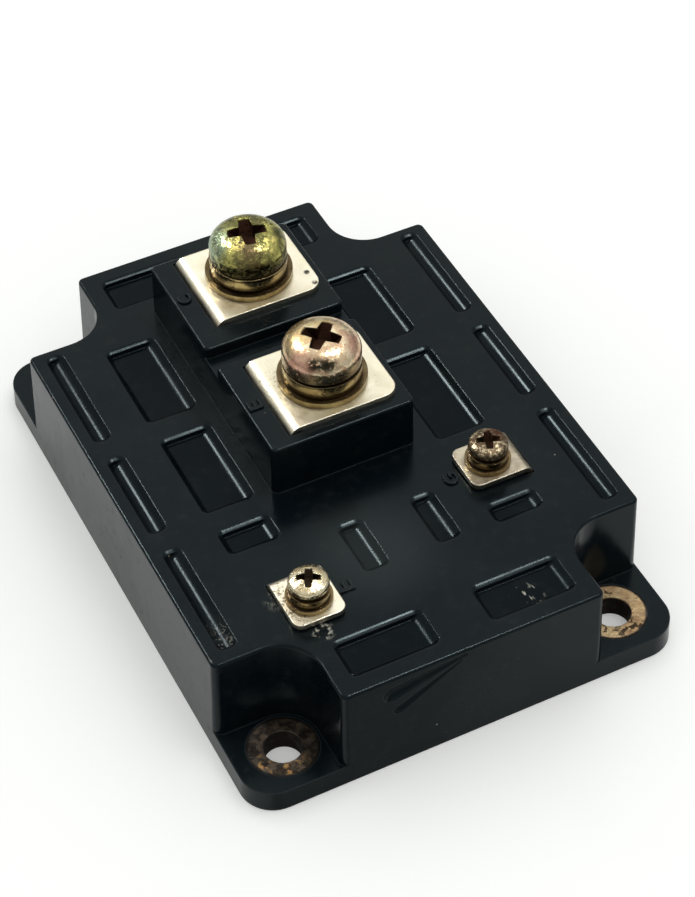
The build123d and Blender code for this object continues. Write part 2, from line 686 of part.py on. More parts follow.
def top_copper(y):
    """Collector, emitter and gate pads of one substrate."""
    left = -COPPER_X / 2
    emitter_x = left + EMITTER_PAD_WIDTH / 2
    emitter = slab(emitter_x, y, EMITTER_PAD_WIDTH, COPPER_Y, PAD_Z, COPPER_THICKNESS)
    collector_width = COPPER_X - EMITTER_PAD_WIDTH - PAD_GAP
    collector_x = COPPER_X / 2 - collector_width / 2
    collector = slab(collector_x, y, collector_width, COPPER_Y, PAD_Z, COPPER_THICKNESS)
    window_x = GATE_PAD_WIDTH + 2 * PAD_GAP
    window_y = GATE_PAD_LENGTH + 2 * PAD_GAP
    collector -= slab(GATE_PAD_X, y, window_x, window_y, PAD_Z, COPPER_THICKNESS)
    gate = slab(GATE_PAD_X, y, GATE_PAD_WIDTH, GATE_PAD_LENGTH, PAD_Z, COPPER_THICKNESS)
    return [collector, emitter, gate]


def chip_rows(y):
    """Y of each row of chips on one substrate."""
    middle = (CHIP_ROWS - 1) / 2
    return [y + (row - middle) * CHIP_PITCH for row in range(CHIP_ROWS)]


def bond_wire(stops):
    """Wire of square section stitched from stop to stop; each stop is (x, z) in falling x."""
    lower = []
    for index, (x, z) in enumerate(stops):
        if index:
            last_x, last_z = stops[index - 1]
            lower.append(((last_x + x) / 2, max(z, last_z) + WIRE_RISE))
        lower += [(x + WIRE_FOOT / 2, z), (x - WIRE_FOOT / 2, z)]
    upper = [(x, z + WIRE) for x, z in reversed(lower)]
    return profile_prism(make_face(Polyline(*lower, *upper, close=True)), WIRE)


def emitter_wires(y):
    """Wires stitched from each transistor over its diode to the emitter pad."""
    landing = -COPPER_X / 2 + EMITTER_PAD_WIDTH - WIRE_FROM_PAD_EDGE
    wire = bond_wire(((TRANSISTOR_X, CHIP_TOP), (DIODE_X, CHIP_TOP), (landing, PAD_TOP)))
    middle = (WIRES_PER_CHIP - 1) / 2
    return [
        Pos(0, row + (index - middle) * WIRE_PITCH, 0) * wire
        for row in chip_rows(y)
        for index in range(WIRES_PER_CHIP)
    ]


def gate_wires(y):
    """Wire from the gate pad to the edge of each transistor."""
    landing = TRANSISTOR_X + TRANSISTOR_SIZE / 2 - WIRE_FOOT
    wire = bond_wire(((GATE_PAD_X, PAD_TOP), (landing, CHIP_TOP)))
    return [Pos(0, row, 0) * wire for row in chip_rows(y)]


def gate_jumper():
    """Wire that joins the two gate pads across the gap."""
    near_end = SUBSTRATE_CENTRES["near"] + GATE_PAD_LENGTH / 2 - WIRE_FOOT
    wire = bond_wire(((-near_end, PAD_TOP), (near_end, PAD_TOP)))
    return Pos(GATE_PAD_X, 0, 0) * Rot(0, 0, 90) * wire


def substrate_nodes(side):
    """Layers, chips and wires of one substrate."""
    y = SUBSTRATE_CENTRES[side]
    nodes = {
        f"{side}_bottom_copper": [slab(0, y, COPPER_X, COPPER_Y, BASE_THICKNESS, COPPER_THICKNESS)],
        f"{side}_ceramic": [slab(0, y, SUBSTRATE_X, SUBSTRATE_Y, CERAMIC_Z, CERAMIC_THICKNESS)],
        f"{side}_top_copper": top_copper(y),
        f"{side}_emitter_wires": emitter_wires(y),
        f"{side}_gate_wires": gate_wires(y),
    }
    for number, row in enumerate(chip_rows(y), start=1):
        transistor = slab(TRANSISTOR_X, row, TRANSISTOR_SIZE, TRANSISTOR_SIZE, PAD_TOP, CHIP_THICKNESS)
        nodes[f"{side}_transistor_{number}"] = [transistor]
        diode = slab(DIODE_X, row, DIODE_SIZE, DIODE_SIZE, PAD_TOP, CHIP_THICKNESS)
        nodes[f"{side}_diode_{number}"] = [diode]
    return nodes


# The whole module

def module():
    """Every node by name, each a list of solids."""
    nodes = {
        "case": [case()],
        "base_plate": [base_plate()],
        "collector_busbar": [collector_busbar()],
        "emitter_busbar": [emitter_busbar()],
        "gate_lead": [gate_lead()],
        "aux_emitter_lead": [aux_emitter_lead()],
        "gate_jumper": [gate_jumper()],
    }
    for name, (side_x, side_y) in CORNERS.items():
        nodes[f"bush_{name}"] = [Pos(side_x * HOLE_X, side_y * HOLE_Y, 0) * bush()]
    for side in SUBSTRATE_CENTRES:
        nodes.update(substrate_nodes(side))
    nodes.update(main_fasteners())
    nodes.update(aux_fasteners())
    return nodes


def write(nodes):
    """One STEP file for each node."""
    os.makedirs("parts", exist_ok=True)
    for name, solids in nodes.items():
        shape = solids[0] if len(solids) == 1 else Compound(children=solids)
        export_step(shape, f"parts/{name}.step")


write(module())
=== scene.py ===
import json
import math

import bmesh
import bpy
from mathutils import Matrix, Vector

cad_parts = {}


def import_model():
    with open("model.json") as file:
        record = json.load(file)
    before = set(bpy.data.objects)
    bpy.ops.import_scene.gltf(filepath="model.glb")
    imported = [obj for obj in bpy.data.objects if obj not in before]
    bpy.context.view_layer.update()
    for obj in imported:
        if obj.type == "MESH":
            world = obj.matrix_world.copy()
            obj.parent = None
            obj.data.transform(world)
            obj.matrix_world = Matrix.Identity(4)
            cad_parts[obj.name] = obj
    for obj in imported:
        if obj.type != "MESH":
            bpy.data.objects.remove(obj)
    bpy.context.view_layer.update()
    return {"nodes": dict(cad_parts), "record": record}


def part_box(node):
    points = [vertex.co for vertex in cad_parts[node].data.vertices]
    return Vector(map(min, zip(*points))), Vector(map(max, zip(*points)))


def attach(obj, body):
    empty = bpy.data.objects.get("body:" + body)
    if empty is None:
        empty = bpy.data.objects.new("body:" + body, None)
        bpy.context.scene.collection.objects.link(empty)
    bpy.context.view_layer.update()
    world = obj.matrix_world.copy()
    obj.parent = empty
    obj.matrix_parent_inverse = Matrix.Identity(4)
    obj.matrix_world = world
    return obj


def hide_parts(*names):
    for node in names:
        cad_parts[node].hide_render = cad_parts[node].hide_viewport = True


# Looks of a used power transistor module on a white table.
# Every object is in metres, in the frame of the CAD part.
# Sizes and places below are in millimetres, angles in degrees, and colours are linear.
MM = 0.001

# Camera, fitted to the photograph
CAMERA_EYE = (-128.70, -272.02, 334.83)
CAMERA_AZIMUTH = -26.04
CAMERA_ELEVATION = 46.669
CAMERA_ROLL = -0.883
CAMERA_FOCAL_PIXELS = 2521.7
CAMERA_CLIP_START = 10.0
PHOTO_HEIGHT_PIXELS = 897
SENSOR = 36.0

# Floor: colour, how dark its marks are, and the glow that makes it white
FLOOR_SIZE = 4000.0
FLOOR_COLOR = (0.93, 0.93, 0.905)
FLOOR_MARK_SHADE = 0.97
FLOOR_ROUGHNESS = 0.6
FLOOR_SPECULAR = 0.1
FLOOR_GLOW_COLOR = (1.0, 1.0, 0.97)
FLOOR_GLOW = 0.225
# World: light from overhead and from the horizon, and the height of a direction where the first is full
WORLD_COLOR = (0.97, 0.99, 1.0)
SKY_LIGHT = 0.82
HORIZON_LIGHT = 0.28
SKY_FROM = 0.6
# The horizon is darker on the far side: its light there, and where along +Y that starts, and is full
FAR_HORIZON_LIGHT = 0.06
FAR_FROM = 0.1
FAR_FULL = 0.6
# Softboxes: place, size and watts
SOFTBOXES = {
    "far_softbox": ((280.0, 590.0, 700.0), 700.0, 0.7),
    "top_softbox": ((190.0, -60.0, 760.0), 300.0, 0.5),
}
# Small lamps that only add highlights: place, size and watts
SPARKLES = {
    "left_sparkle": ((-260.0, 525.0, 650.0), 140.0, 4.2),
    "top_sparkle": ((230.0, -30.0, 760.0), 100.0, 2.6),
}

# Levels and pockets of the case that the looks refer to
BODY_TOP = 21.4
BLOCK_TOP = 31.6
POCKET_DEPTH = 1.5
POCKET_FLOOR = BODY_TOP - POCKET_DEPTH
POCKET_CORNER = 1.6
# Pocket walls as moulded, by side: radii of a soft rim and of the mouth, slope, radius into the floor
POCKET_LEFT = (0.0, 0.7, 65.0, 1.1)
POCKET_RIGHT = (0.0, 0.3, 39.0, 2.5)
POCKET_NEAR = (0.0, 1.6, 65.0, 0.2)
POCKET_FAR = (2.6, 0.15, 80.0, 0.15)
# Slopes where a soft rim starts and ends
POCKET_RIM_START = 12.0
POCKET_RIM_TURN = 28.0
DISH_DEPTH = 1.15
DISH_FLOOR = BODY_TOP - DISH_DEPTH
POCKET_RINGS = 24
LEAST_FLOOR = 0.05
# Meshes: tolerances, part of a normal from which a face lies flat, and the angle from which an edge is sharp
LEVEL_TOLERANCE = 0.02
MERGE_DISTANCE = 0.001
LIES_FLAT = 0.9
SHARP_ANGLE = 30.0

# Raised terminal letters: text, middle (x, y), height and width, level that they stand on
LETTERS = {
    "letter_collector": ("C", (-12.4, 30.0), (2.5, 2.2), BLOCK_TOP),
    "letter_emitter": ("E", (-12.6, 0.9), (2.5, 2.1), BLOCK_TOP),
    "letter_aux_emitter": ("E", (-13.2, -33.8), (2.9, 2.2), BODY_TOP),
    "letter_gate": ("G", (13.4, -20.8), (2.6, 2.6), BODY_TOP),
}
LETTER_RISE = 0.4
LETTER_SINK = 0.05
LETTER_THICKNESS = LETTER_RISE + LETTER_SINK
LETTER_BEVEL = 0.06
LETTER_BEVEL_STEPS = 1
LETTER_DRAFT_SIZE = 3.4

# Screw heads: tops, radius of the crown, reach of the recess
MAIN_HEAD_TOPS = ((0.2, 1.1, 43.6), (0.2, 30.3, 43.6))
MAIN_CROWN = 8.2
MAIN_RECESS_REACH = 4.0
AUX_HEAD_TOPS = ((20.4, -20.8, 28.1), (-19.8, -34.2, 28.1))
AUX_CROWN = 7.16
AUX_RECESS_REACH = 2.4
# Recesses: how far below the crown they count as such, and how softly that fades, down and outwards
RECESS_EDGE = 0.06
RECESS_FADE = 0.25
RECESS_SIDE_FADE = 0.4
# Crowns of the main screws are flatter: by how much at the middle, out to which radius, and the crown left
CROWN_WORN = 1.1
CROWN_REACH = 6.1
WORN_CROWN = 30.0
# Faces of a crown: how far up they face, how near to it they lie, cuts of their edges, and level below them
CROWN_UPRIGHT = 0.55
CROWN_TOLERANCE = 0.1
CROWN_CUTS = 3
HEAD_UNDERSIDE = 37.2

# Nodes: colour sockets of a mix, roughness of noise, rays that feel for edges and crevices at each point
MIX_FIRST = 6
MIX_SECOND = 7
MIX_RESULT = 2
NOISE_ROUGHNESS = 0.55
EVEN = (1.0, 1.0, 1.0)
EDGE_SAMPLES = 4
# How far a rounded normal agrees with the true one where an edge starts, and is full
EDGE_AGREEMENT = (0.985, 0.8)
# How open a point is where a crevice starts, and is full
CREVICE_OPENNESS = (0.85, 0.45)

# In the values below, a tint is a colour and its share, where it isn't a colour alone.
# A spot is its place (x, y, z), the radius within which it is full, and the radius where it ends.

# Patches: width, level of the noise where they start and are full, detail of the noise
PATCHES = {
    "case_haze": (16.0, 0.4, 0.72, 4.0),
    "case_grime": (2.2, 0.5, 0.78, 5.0),
    "stray_dust": (9.0, 0.52, 0.6, 3.0),
    "crumbs": (0.75, 0.53, 0.58, 2.0),
    "scuffs": (1.1, 0.56, 0.62, 3.0),
    "powder": (0.4, 0.55, 0.64, 3.0),
    "nickel_pits": (6.0, 0.45, 0.7, 3.0),
    "nickel_tarnish": (1.6, 0.4, 0.62, 5.0),
    "nickel_stale": (3.0, 0.3, 0.6, 4.0),
    "main_pale": (2.0, 0.48, 0.6, 5.0),
    "main_pits": (5.0, 0.4, 0.6, 3.0),
    "emitter_tints": (1.7, 0.32, 0.55, 4.0),
    "collector_olive": (2.2, 0.42, 0.6, 5.0),
    "collector_front": (1.8, 0.3, 0.5, 4.0),
    "collector_glints": (0.9, 0.46, 0.58, 4.0),
    "aux_pits": (2.0, 0.4, 0.6, 3.0),
    "gate_mottle": (0.8, 0.38, 0.54, 4.0),
    "gate_rust": (1.0, 0.34, 0.5, 4.0),
    "washer_pits": (4.0, 0.4, 0.6, 3.0),
    "bush_rust": (2.2, 0.5, 0.64, 5.0),
    "bush_mottle": (1.4, 0.42, 0.6, 5.0),
    "bush_orange": (1.3, 0.5, 0.62, 4.0),
    "bush_pits": (5.0, 0.38, 0.55, 3.0),
    "floor_marks": (40.0, 0.5, 0.8, 5.0),
}
# Pits: width, level of the noise where they start and are full, colour, share of that colour
PITS = {
    "nickel": (0.5, 0.62, 0.72, (0.20, 0.15, 0.10), 0.5),
    "emitter_bend": (0.5, 0.56, 0.66, (0.16, 0.12, 0.08), 0.8),
    "aux_plate": (0.5, 0.52, 0.62, (0.12, 0.085, 0.05), 0.85),
    "collector_specks": (0.8, 0.3, 0.5, (0.02, 0.018, 0.015), 0.95),
    "emitter_smudge": (1.0, 0.36, 0.5, (0.015, 0.014, 0.008), 0.95),
    "collector_screw": (0.7, 0.52, 0.64, (0.14, 0.11, 0.05), 0.6),
    "main_screws": (0.6, 0.6, 0.7, (0.16, 0.10, 0.05), 0.6),
    "aux_screws": (0.5, 0.52, 0.62, (0.10, 0.07, 0.04), 0.8),
    "washers": (0.6, 0.55, 0.66, (0.08, 0.05, 0.03), 0.7),
    "bushes": (1.0, 0.58, 0.64, (0.05, 0.03, 0.015), 0.9),
    "bush_specks": (0.9, 0.5, 0.55, (0.04, 0.024, 0.012), 0.95),
}
PIT_DETAIL = 5.0
PIT_ROUGHNESS = 0.25
PIT_SINK = 0.8
DIRT_AND_SHADE_ROUGHNESS = 0.4
# Half the width of the change from one screw's look to the next one's
SPLIT_FADE = 1.0

# Case: gloss, tints, roughness, and width and depth of its waves and grain
CASE_IOR = 1.22
CASE_SPECULAR_TINT = (0.78, 0.97, 1.0)
CASE_SPECULAR = 0.5
CASE_DULL_SPECULAR = 0.24
CASE_BLACK = (0.0022, 0.0045, 0.0062)
CASE_HAZE = (0.0052, 0.0080, 0.0092)
# Painted sheen with some wear on the top face: its colour and share
CASE_WEAR_AND_SHEEN = ((0.030, 0.037, 0.037), 0.6)
CASE_GRIME = ((0.03, 0.032, 0.03), 0.14)
# Paler open edges: wear, and a painted highlight along the rims
CASE_EDGE_WEAR_AND_HIGHLIGHT = ((0.075, 0.085, 0.092), 0.4)
CASE_DUST = (0.42, 0.40, 0.33)
CASE_ROUGHNESS = 0.3
HAZE_ROUGHNESS = (0.19, 0.25)
GRIME_ROUGHNESS = 0.08
EDGE_ROUGHNESS = 0.4
CASE_EDGE_WIDTH = 0.5
CASE_CREVICE = 1.2
CASE_ROUND = 0.25
FINE_DETAIL = 2.0
CASE_WAVES = (7.0, 0.03)
CASE_GRAIN = (0.3, 0.004)
# Part of the normal where a face starts to count as a pocket's floor, a near or left wall, or a place for
# dust, and where it fully does
FLOOR_FACING = (0.75, 0.9)
WALL_FACING = (-0.8, -0.95)
DUST_FACING = (0.4, 0.7)
FLOOR_FADE = 0.3
# The near wall is dull at its left and glossy at its right: x where it is fully dull, and glossy
DULL_FROM = -22.0
DULL_TO = 34.0
# The terminal block's left side is matte: share of gloss left, levels where that starts, and is full
BLOCK_SIDE_GLOSS = 0.1
BLOCK_SIDE_RISE = (BODY_TOP, BODY_TOP + 0.4)
# Spot of the painted sheen with wear
SHEEN_AND_WEAR_SPOT = ((-6.0, -29.0, 21.4), 3.0, 15.0)

# Dust on the case: spots and shares
CRUMB_SPOT = ((-20.4, -40.5, 21.4), 0.9, 2.3)
CORNER_CRUMB_SPOT = ((-20.2, -50.6, 20.2), 0.4, 1.3)
AUX_PLATE_DIRT_SPOT = ((-24.6, -31.5, 21.4), 0.6, 2.4)
AUX_PLATE_DIRT_SHARE = 0.3
SCUFF_SPOT = ((12.8, -48.3, 19.9), 1.2, 3.4)
SCUFF_STRETCH = (1.0, 0.35, 1.0)
SLOT_DUST_SPOT = ((-34.3, -34.5, 20.2), 1.0, 6.0)
SLOT_DUST_SHARE = 0.5
# Levels below the top face where dust in a slot starts, and is full
SLOT_DUST_SINK = (BODY_TOP - 0.1, BODY_TOP - 0.4)
# Stray specks: distance from one to the next, radii where each ends and is full in shares of it, and share
STRAY_SPACING = 5.5
STRAY_RADII = (0.045, 0.03)
STRAY_SHARE = 0.4

# Metals: light and dark colour, roughness, width of the blotches, depth of the relief, rounding of the edges
METALS = {
    "terminal_nickel": ((0.85, 0.79, 0.62), (0.73, 0.66, 0.49), 0.33, 5.0, 0.03, 0.25),
    "main_screw_plate": ((0.66, 0.51, 0.31), (0.43, 0.27, 0.17), 0.25, 3.0, 0.07, 0.2),
    "aux_screw_plate": ((0.80, 0.72, 0.50), (0.56, 0.45, 0.26), 0.2, 1.6, 0.06, 0.14),
    "washer_plate": ((0.62, 0.50, 0.25), (0.38, 0.27, 0.12), 0.16, 3.0, 0.03, 0.2),
    "bush_steel": ((0.50, 0.37, 0.20), (0.32, 0.20, 0.095), 0.45, 3.0, 0.08, 0.2),
    "base_nickel": ((0.70, 0.68, 0.64), (0.60, 0.58, 0.54), 0.3, 12.0, 0.01, 0.2),
    "nut_steel": ((0.62, 0.61, 0.58), (0.48, 0.47, 0.44), 0.32, 3.0, 0.02, 0.2),
    "copper": ((0.80, 0.46, 0.31), (0.55, 0.28, 0.17), 0.34, 6.0, 0.01, 0.1),
    "bond_wire": ((0.82, 0.82, 0.81), (0.68, 0.68, 0.68), 0.3, 1.5, 0.01, 0.1),
    "silicon": ((0.30, 0.30, 0.33), (0.20, 0.20, 0.23), 0.25, 4.0, 0.004, 0.05),
}
# Blotches: level of the noise where they start, and are full
BLOTCH_LEVELS = (0.35, 0.68)
METAL_DETAIL = 4.0
# Roughness that blotches and grain take from a metal's own, and add to it
BLOTCH_ROUGHNESS = (-0.05, 0.07)
GRAIN_ROUGHNESS = (-0.04, 0.04)
GRAIN_SIZE = 0.22
DENT_SIZE = 0.6
WIPE_SIZE = 0.5
WIPE_STRETCH = (0.06, 1.0, 1.0)

# Terminal plates: tints, and spots of their marks
NICKEL_TARNISH = (0.34, 0.29, 0.21)
NICKEL_TARNISH_SHARES = (0.7, 1.0)
NICKEL_STALE = ((0.65, 0.60, 0.45), 0.6)
NICKEL_EDGE = ((0.93, 0.89, 0.74), 0.6)
NICKEL_EDGE_WIDTH = 0.3
EMITTER_PLATE_SPOT = ((0.2, 1.1, 32.6), 9.0, 14.0)
EMITTER_BEND_SPOT = ((-9.4, 2.5, 32.4), 3.0, 8.0)
COLLECTOR_SPECKS = ((9.3, 25.7, 32.6), (9.4, 22.7, 32.6))
COLLECTOR_SPECK_RADII = (0.35, 0.7)
AUX_PITS = ((-24.0, -31.0, 22.8), (-24.0, -37.0, 22.6))
AUX_PIT_RADII = (1.5, 5.0)
GATE_PLATE_SPOT = ((21.0, -20.8, 22.8), 6.0, 9.0)

# Main screws: tints, painted shade in the recesses and round the lower rims of the heads, and spots of their
# marks
MAIN_PALE = ((0.84, 0.73, 0.49), 0.7)
# Painted shade inside the main screws' recesses
MAIN_RECESS_SHADE = (0.042, 0.019, 0.012)
# Painted shade round the lower rim of each head: colour and share, then the levels where it starts and is
# full
MAIN_SKIRT_SHADE = ((0.07, 0.05, 0.025), 0.75)
MAIN_SKIRT_TOP = 39.4
MAIN_SKIRT_BOTTOM = 37.4
BETWEEN_MAIN_SCREWS_Y = 15.7
# Colours of the emitter's screw by place: pink at its sides, gold at the back and the left
EMITTER_TINTS = {
    (-5.6, -1.6, 40.6): (0.52, 0.25, 0.19),
    (5.4, -2.6, 40.6): (0.56, 0.27, 0.21),
    (1.2, 5.2, 42.0): (0.52, 0.42, 0.19),
    (-3.6, 2.6, 42.2): (0.66, 0.48, 0.20),
}
EMITTER_TINT_RADII = (1.2, 4.2)
EMITTER_TINT_SHARE = 0.7
EMITTER_SMUDGES = ((-3.5, -3.5, 41.1), (-2.3, -4.4, 41.0), (-1.0, -4.8, 41.0))
EMITTER_SMUDGE_RADII = (0.5, 1.9)
COLLECTOR_OLIVE = ((0.13, 0.13, 0.045), (0.40, 0.37, 0.11))
COLLECTOR_PALE = ((0.34, 0.44, 0.31), 0.75)
COLLECTOR_PALE_SPOT = ((-6.0, 32.0, 40.0), 1.5, 5.5)
COLLECTOR_STAIN = ((0.12, 0.085, 0.05), 0.8)
COLLECTOR_STAIN_SPOT = ((-1.6, 27.0, 42.0), 0.8, 3.0)
COLLECTOR_FRONT = ((0.075, 0.052, 0.026), 0.85)
COLLECTOR_FRONT_SPOT = ((-1.4, 24.9, 40.2), 1.2, 4.2)
# Gold before the collector's recess: crystals, and a painted highlight
COLLECTOR_GOLD_GLINT = (0.90, 0.76, 0.24)
COLLECTOR_GLINT_LEFT = ((-2.8, 28.6, 42.7), 0.8, 2.6)
COLLECTOR_GLINT_RIGHT = ((2.4, 26.0, 42.2), 0.8, 2.6)

# Auxiliary screws: tints, painted shade in the recesses, and the spot of the gate's rust
# Painted shade inside the auxiliary screws' recesses
AUX_RECESS_SHADE = (0.035, 0.024, 0.014)
GATE_MOTTLE = ((0.40, 0.33, 0.21), (0.085, 0.06, 0.036))
GATE_ROUGHNESS = 0.2
GATE_RUST = (0.075, 0.034, 0.02)
GATE_RUST_SPOT = ((21.9, -20.1, 27.4), 1.0, 2.3)

# Washers: tints, painted shade in crevices, and bands of painted shade round the spring washers with levels
# where each starts, is full, and ends
# Painted shade in the washers' crevices
WASHER_CREVICE_SHADE = (0.045, 0.026, 0.012)
WASHER_CREVICE = 2.2
SMALL_WASHER_BROWN = ((0.16, 0.10, 0.045), 0.5)
SMALL_WASHER_FADE = 1.0
# Painted shade in bands round the spring washers: colour and share
SPRING_BAND_SHADE = ((0.055, 0.035, 0.016), 0.8)
SPRING_BANDS = (
    (35.4, 34.8, 33.7), (36.68, 36.54, 36.2),
    (25.1, 24.7, 23.65), (25.92, 25.82, 25.62), (25.52, 25.42, 25.22),
)
SPRING_BAND_FADE = 0.1

# Bushes: nodes, tints, spots of their marks, and painted shade in the bore
BUSHES = ("bush_near_left", "bush_near_right", "bush_far_left", "bush_far_right")
BUSH_RUST = ((0.22, 0.11, 0.035), 0.6)
BUSH_MOTTLE = ((0.020, 0.015, 0.011), (0.085, 0.062, 0.040))
BUSH_ORANGE = (0.36, 0.20, 0.07)
BUSH_METALLIC = 0.7
BUSH_RUST_METALLIC = 0.3
BUSH_ORANGE_SPOT = ((-33.5, -50.5, 4.4), 2.5, 6.0)
BUSH_SPECK_SPOT = ((32.0, -51.2, 4.4), 1.5, 3.6)
NEAR_LEFT_BUSH_SPOT = ((-31.0, -46.5, 4.4), 7.0, 9.0)
# Painted shade down in each bush's bore
BORE_SHADE = (0.012, 0.006, 0.003)
BUSH_LIP = 4.3
BUSH_LIP_FADE = 0.3
# Ring of painted shade round each bush, for the gap to the flange: radii where it starts, is full, starts to
# end, and ends
BUSH_RING = (5.45, 5.75, 8.0, 8.1)
# Colour of the ring of painted shade
BUSH_GAP_SHADE = (0.012, 0.009, 0.006)

# Ceramic: colours, width of its clouds, and width and depth of its grain
CERAMIC_COLORS = ((0.84, 0.83, 0.79), (0.90, 0.89, 0.86))
CERAMIC_ROUGHNESS = 0.55
CERAMIC_CLOUD = 3.0
CERAMIC_DETAIL = 4.0
CERAMIC_GRAIN = (0.15, 0.006)

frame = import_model()


# Building blocks for materials

class Look:
    """One procedural material: a Principled surface, and short calls that add nodes to it."""

    def __init__(self, name, metallic, roughness):
        self.material = bpy.data.materials.new(name)
        self.material.use_nodes = True
        self.nodes = self.material.node_tree.nodes
        self.links = self.material.node_tree.links
        self.surface = self.nodes["Principled BSDF"]
        self.surface.inputs["Metallic"].default_value = metallic
        self.surface.inputs["Roughness"].default_value = roughness
        self.place = self.nodes.new("ShaderNodeTexCoord").outputs["Object"]

    def put(self, socket, value):
        """Links a node's output to a socket, or sets a plain value on it."""
        if isinstance(value, bpy.types.NodeSocket):
            self.links.new(value, socket)
        elif socket.type == "RGBA":
            socket.default_value = (*value, 1.0)
        else:
            socket.default_value = value

    def set(self, name, value):
        """Puts a value on one of the surface's own sockets."""
        self.put(self.surface.inputs[name], value)

    def noise(self, size, detail=3.0, stretch=EVEN):
        """Noise from 0 to 1 whose blotches are about size millimetres wide."""
        mapping = self.nodes.new("ShaderNodeMapping")
        mapping.inputs["Scale"].default_value = stretch
        self.links.new(self.place, mapping.inputs["Vector"])
        node = self.nodes.new("ShaderNodeTexNoise")
        node.inputs["Scale"].default_value = 1 / (size * MM)
        node.inputs["Detail"].default_value = detail
        node.inputs["Roughness"].default_value = NOISE_ROUGHNESS
        self.links.new(mapping.outputs["Vector"], node.inputs["Vector"])
        return node.outputs["Fac"]

    def patches(self, kind, stretch=EVEN):
        """One kind of patches: 0 where its noise is below the start, 1 where it is above the full level."""
        size, start, full, detail = PATCHES[kind]
        return self.ramp(self.noise(size, detail, stretch), start, full)

    def cells(self, size):
        """Distance from the nearest of scattered points, about size millimetres apart, in cell widths."""
        node = self.nodes.new("ShaderNodeTexVoronoi")
        node.inputs["Scale"].default_value = 1 / (size * MM)
        self.links.new(self.place, node.inputs["Vector"])
        return node.outputs["Distance"]

    def ramp(self, value, low, high):
        """Smooth step from 0 at low to 1 at high."""
        node = self.nodes.new("ShaderNodeMapRange")
        node.interpolation_type = "SMOOTHSTEP"
        node.inputs["From Min"].default_value = low
        node.inputs["From Max"].default_value = high
        self.put(node.inputs["Value"], value)
        return node.outputs["Result"]

    def scale(self, value, low, high):
        """Takes 0 to 1 onto low to high."""
        node = self.nodes.new("ShaderNodeMapRange")
        node.inputs["To Min"].default_value = low
        node.inputs["To Max"].default_value = high
        self.put(node.inputs["Value"], value)
        return node.outputs["Result"]

    def math(self, operation, first, second):
        """One operation on two values."""
        node = self.nodes.new("ShaderNodeMath")
        node.operation = operation
        self.put(node.inputs[0], first)
        self.put(node.inputs[1], second)
        return node.outputs["Value"]

    def times(self, first, second):
        """Product of two values."""
        return self.math("MULTIPLY", first, second)

    def plus(self, first, second):
        """Sum of two values."""
        return self.math("ADD", first, second)

    def minus(self, first, second):
        """First value less the second."""
        return self.math("SUBTRACT", first, second)

    def most(self, first, second):
        """Larger of two values."""
        return self.math("MAXIMUM", first, second)

    def blend(self, factor, first, second):
        """Colour between first, at factor 0, and second, at factor 1."""
        node = self.nodes.new("ShaderNodeMix")
        node.data_type = "RGBA"
        self.put(node.inputs["Factor"], factor)
        self.put(node.inputs[MIX_FIRST], first)
        self.put(node.inputs[MIX_SECOND], second)
        return node.outputs[MIX_RESULT]

    def layer(self, color, mask, tint, share=1.0):
        """A colour with a share of a tint laid over it where mask is 1."""
        return self.blend(self.times(mask, share), color, tint)

    def along(self, axis, start, full):
        """Smooth step along one axis, from 0 at start to 1 at full, in millimetres."""
        node = self.nodes.new("ShaderNodeSeparateXYZ")
        self.links.new(self.place, node.inputs["Vector"])
        return self.ramp(node.outputs[axis], start * MM, full * MM)

    def level(self, height, fade):
        """1 at a height in millimetres, fading out above and below it."""
        above = self.along("Z", height - fade, height)
        return self.times(above, self.along("Z", height + fade, height))

    def near(self, spot, inner, outer):
        """1 within inner millimetres of a spot, falling to 0 at outer."""
        node = self.nodes.new("ShaderNodeVectorMath")
        node.operation = "DISTANCE"
        self.links.new(self.place, node.inputs[0])
        node.inputs[1].default_value = Vector(spot) * MM
        return self.ramp(node.outputs["Value"], outer * MM, inner * MM)

    def true_normal(self):
        """Normal of the surface without bumps."""
        return self.nodes.new("ShaderNodeNewGeometry").outputs["Normal"]

    def round_normal(self, radius):
        """Normal that runs smoothly over edges, as a small round would."""
        node = self.nodes.new("ShaderNodeBevel")
        node.samples = EDGE_SAMPLES
        node.inputs["Radius"].default_value = radius * MM
        return node.outputs["Normal"]

    def edges(self, radius):
        """1 on edges, falling to 0 about radius millimetres from them."""
        node = self.nodes.new("ShaderNodeVectorMath")
        node.operation = "DOT_PRODUCT"
        self.links.new(self.round_normal(radius), node.inputs[0])
        self.links.new(self.true_normal(), node.inputs[1])
        return self.ramp(node.outputs["Value"], *EDGE_AGREEMENT)

    def facing(self, axis, low, high):
        """Smooth step on one part of the surface's normal, from 0 at low to 1 at high."""
        node = self.nodes.new("ShaderNodeSeparateXYZ")
        self.links.new(self.true_normal(), node.inputs["Vector"])
        return self.ramp(node.outputs[axis], low, high)

    def crevices(self, reach):
        """1 where other surfaces stand close by, within reach millimetres, 0 in the open."""
        node = self.nodes.new("ShaderNodeAmbientOcclusion")
        node.samples = EDGE_SAMPLES
        node.inputs["Distance"].default_value = reach * MM
        return self.ramp(node.outputs["AO"], *CREVICE_OPENNESS)

    def relief(self, height, depth, normal=None):
        """Bump of a height from 0 to 1 over depth millimetres, laid on a normal."""
        node = self.nodes.new("ShaderNodeBump")
        node.inputs["Strength"].default_value = 1.0
        node.inputs["Distance"].default_value = depth * MM
        self.links.new(height, node.inputs["Height"])
        if normal is not None:
            self.links.new(normal, node.inputs["Normal"])
        return node.outputs["Normal"]


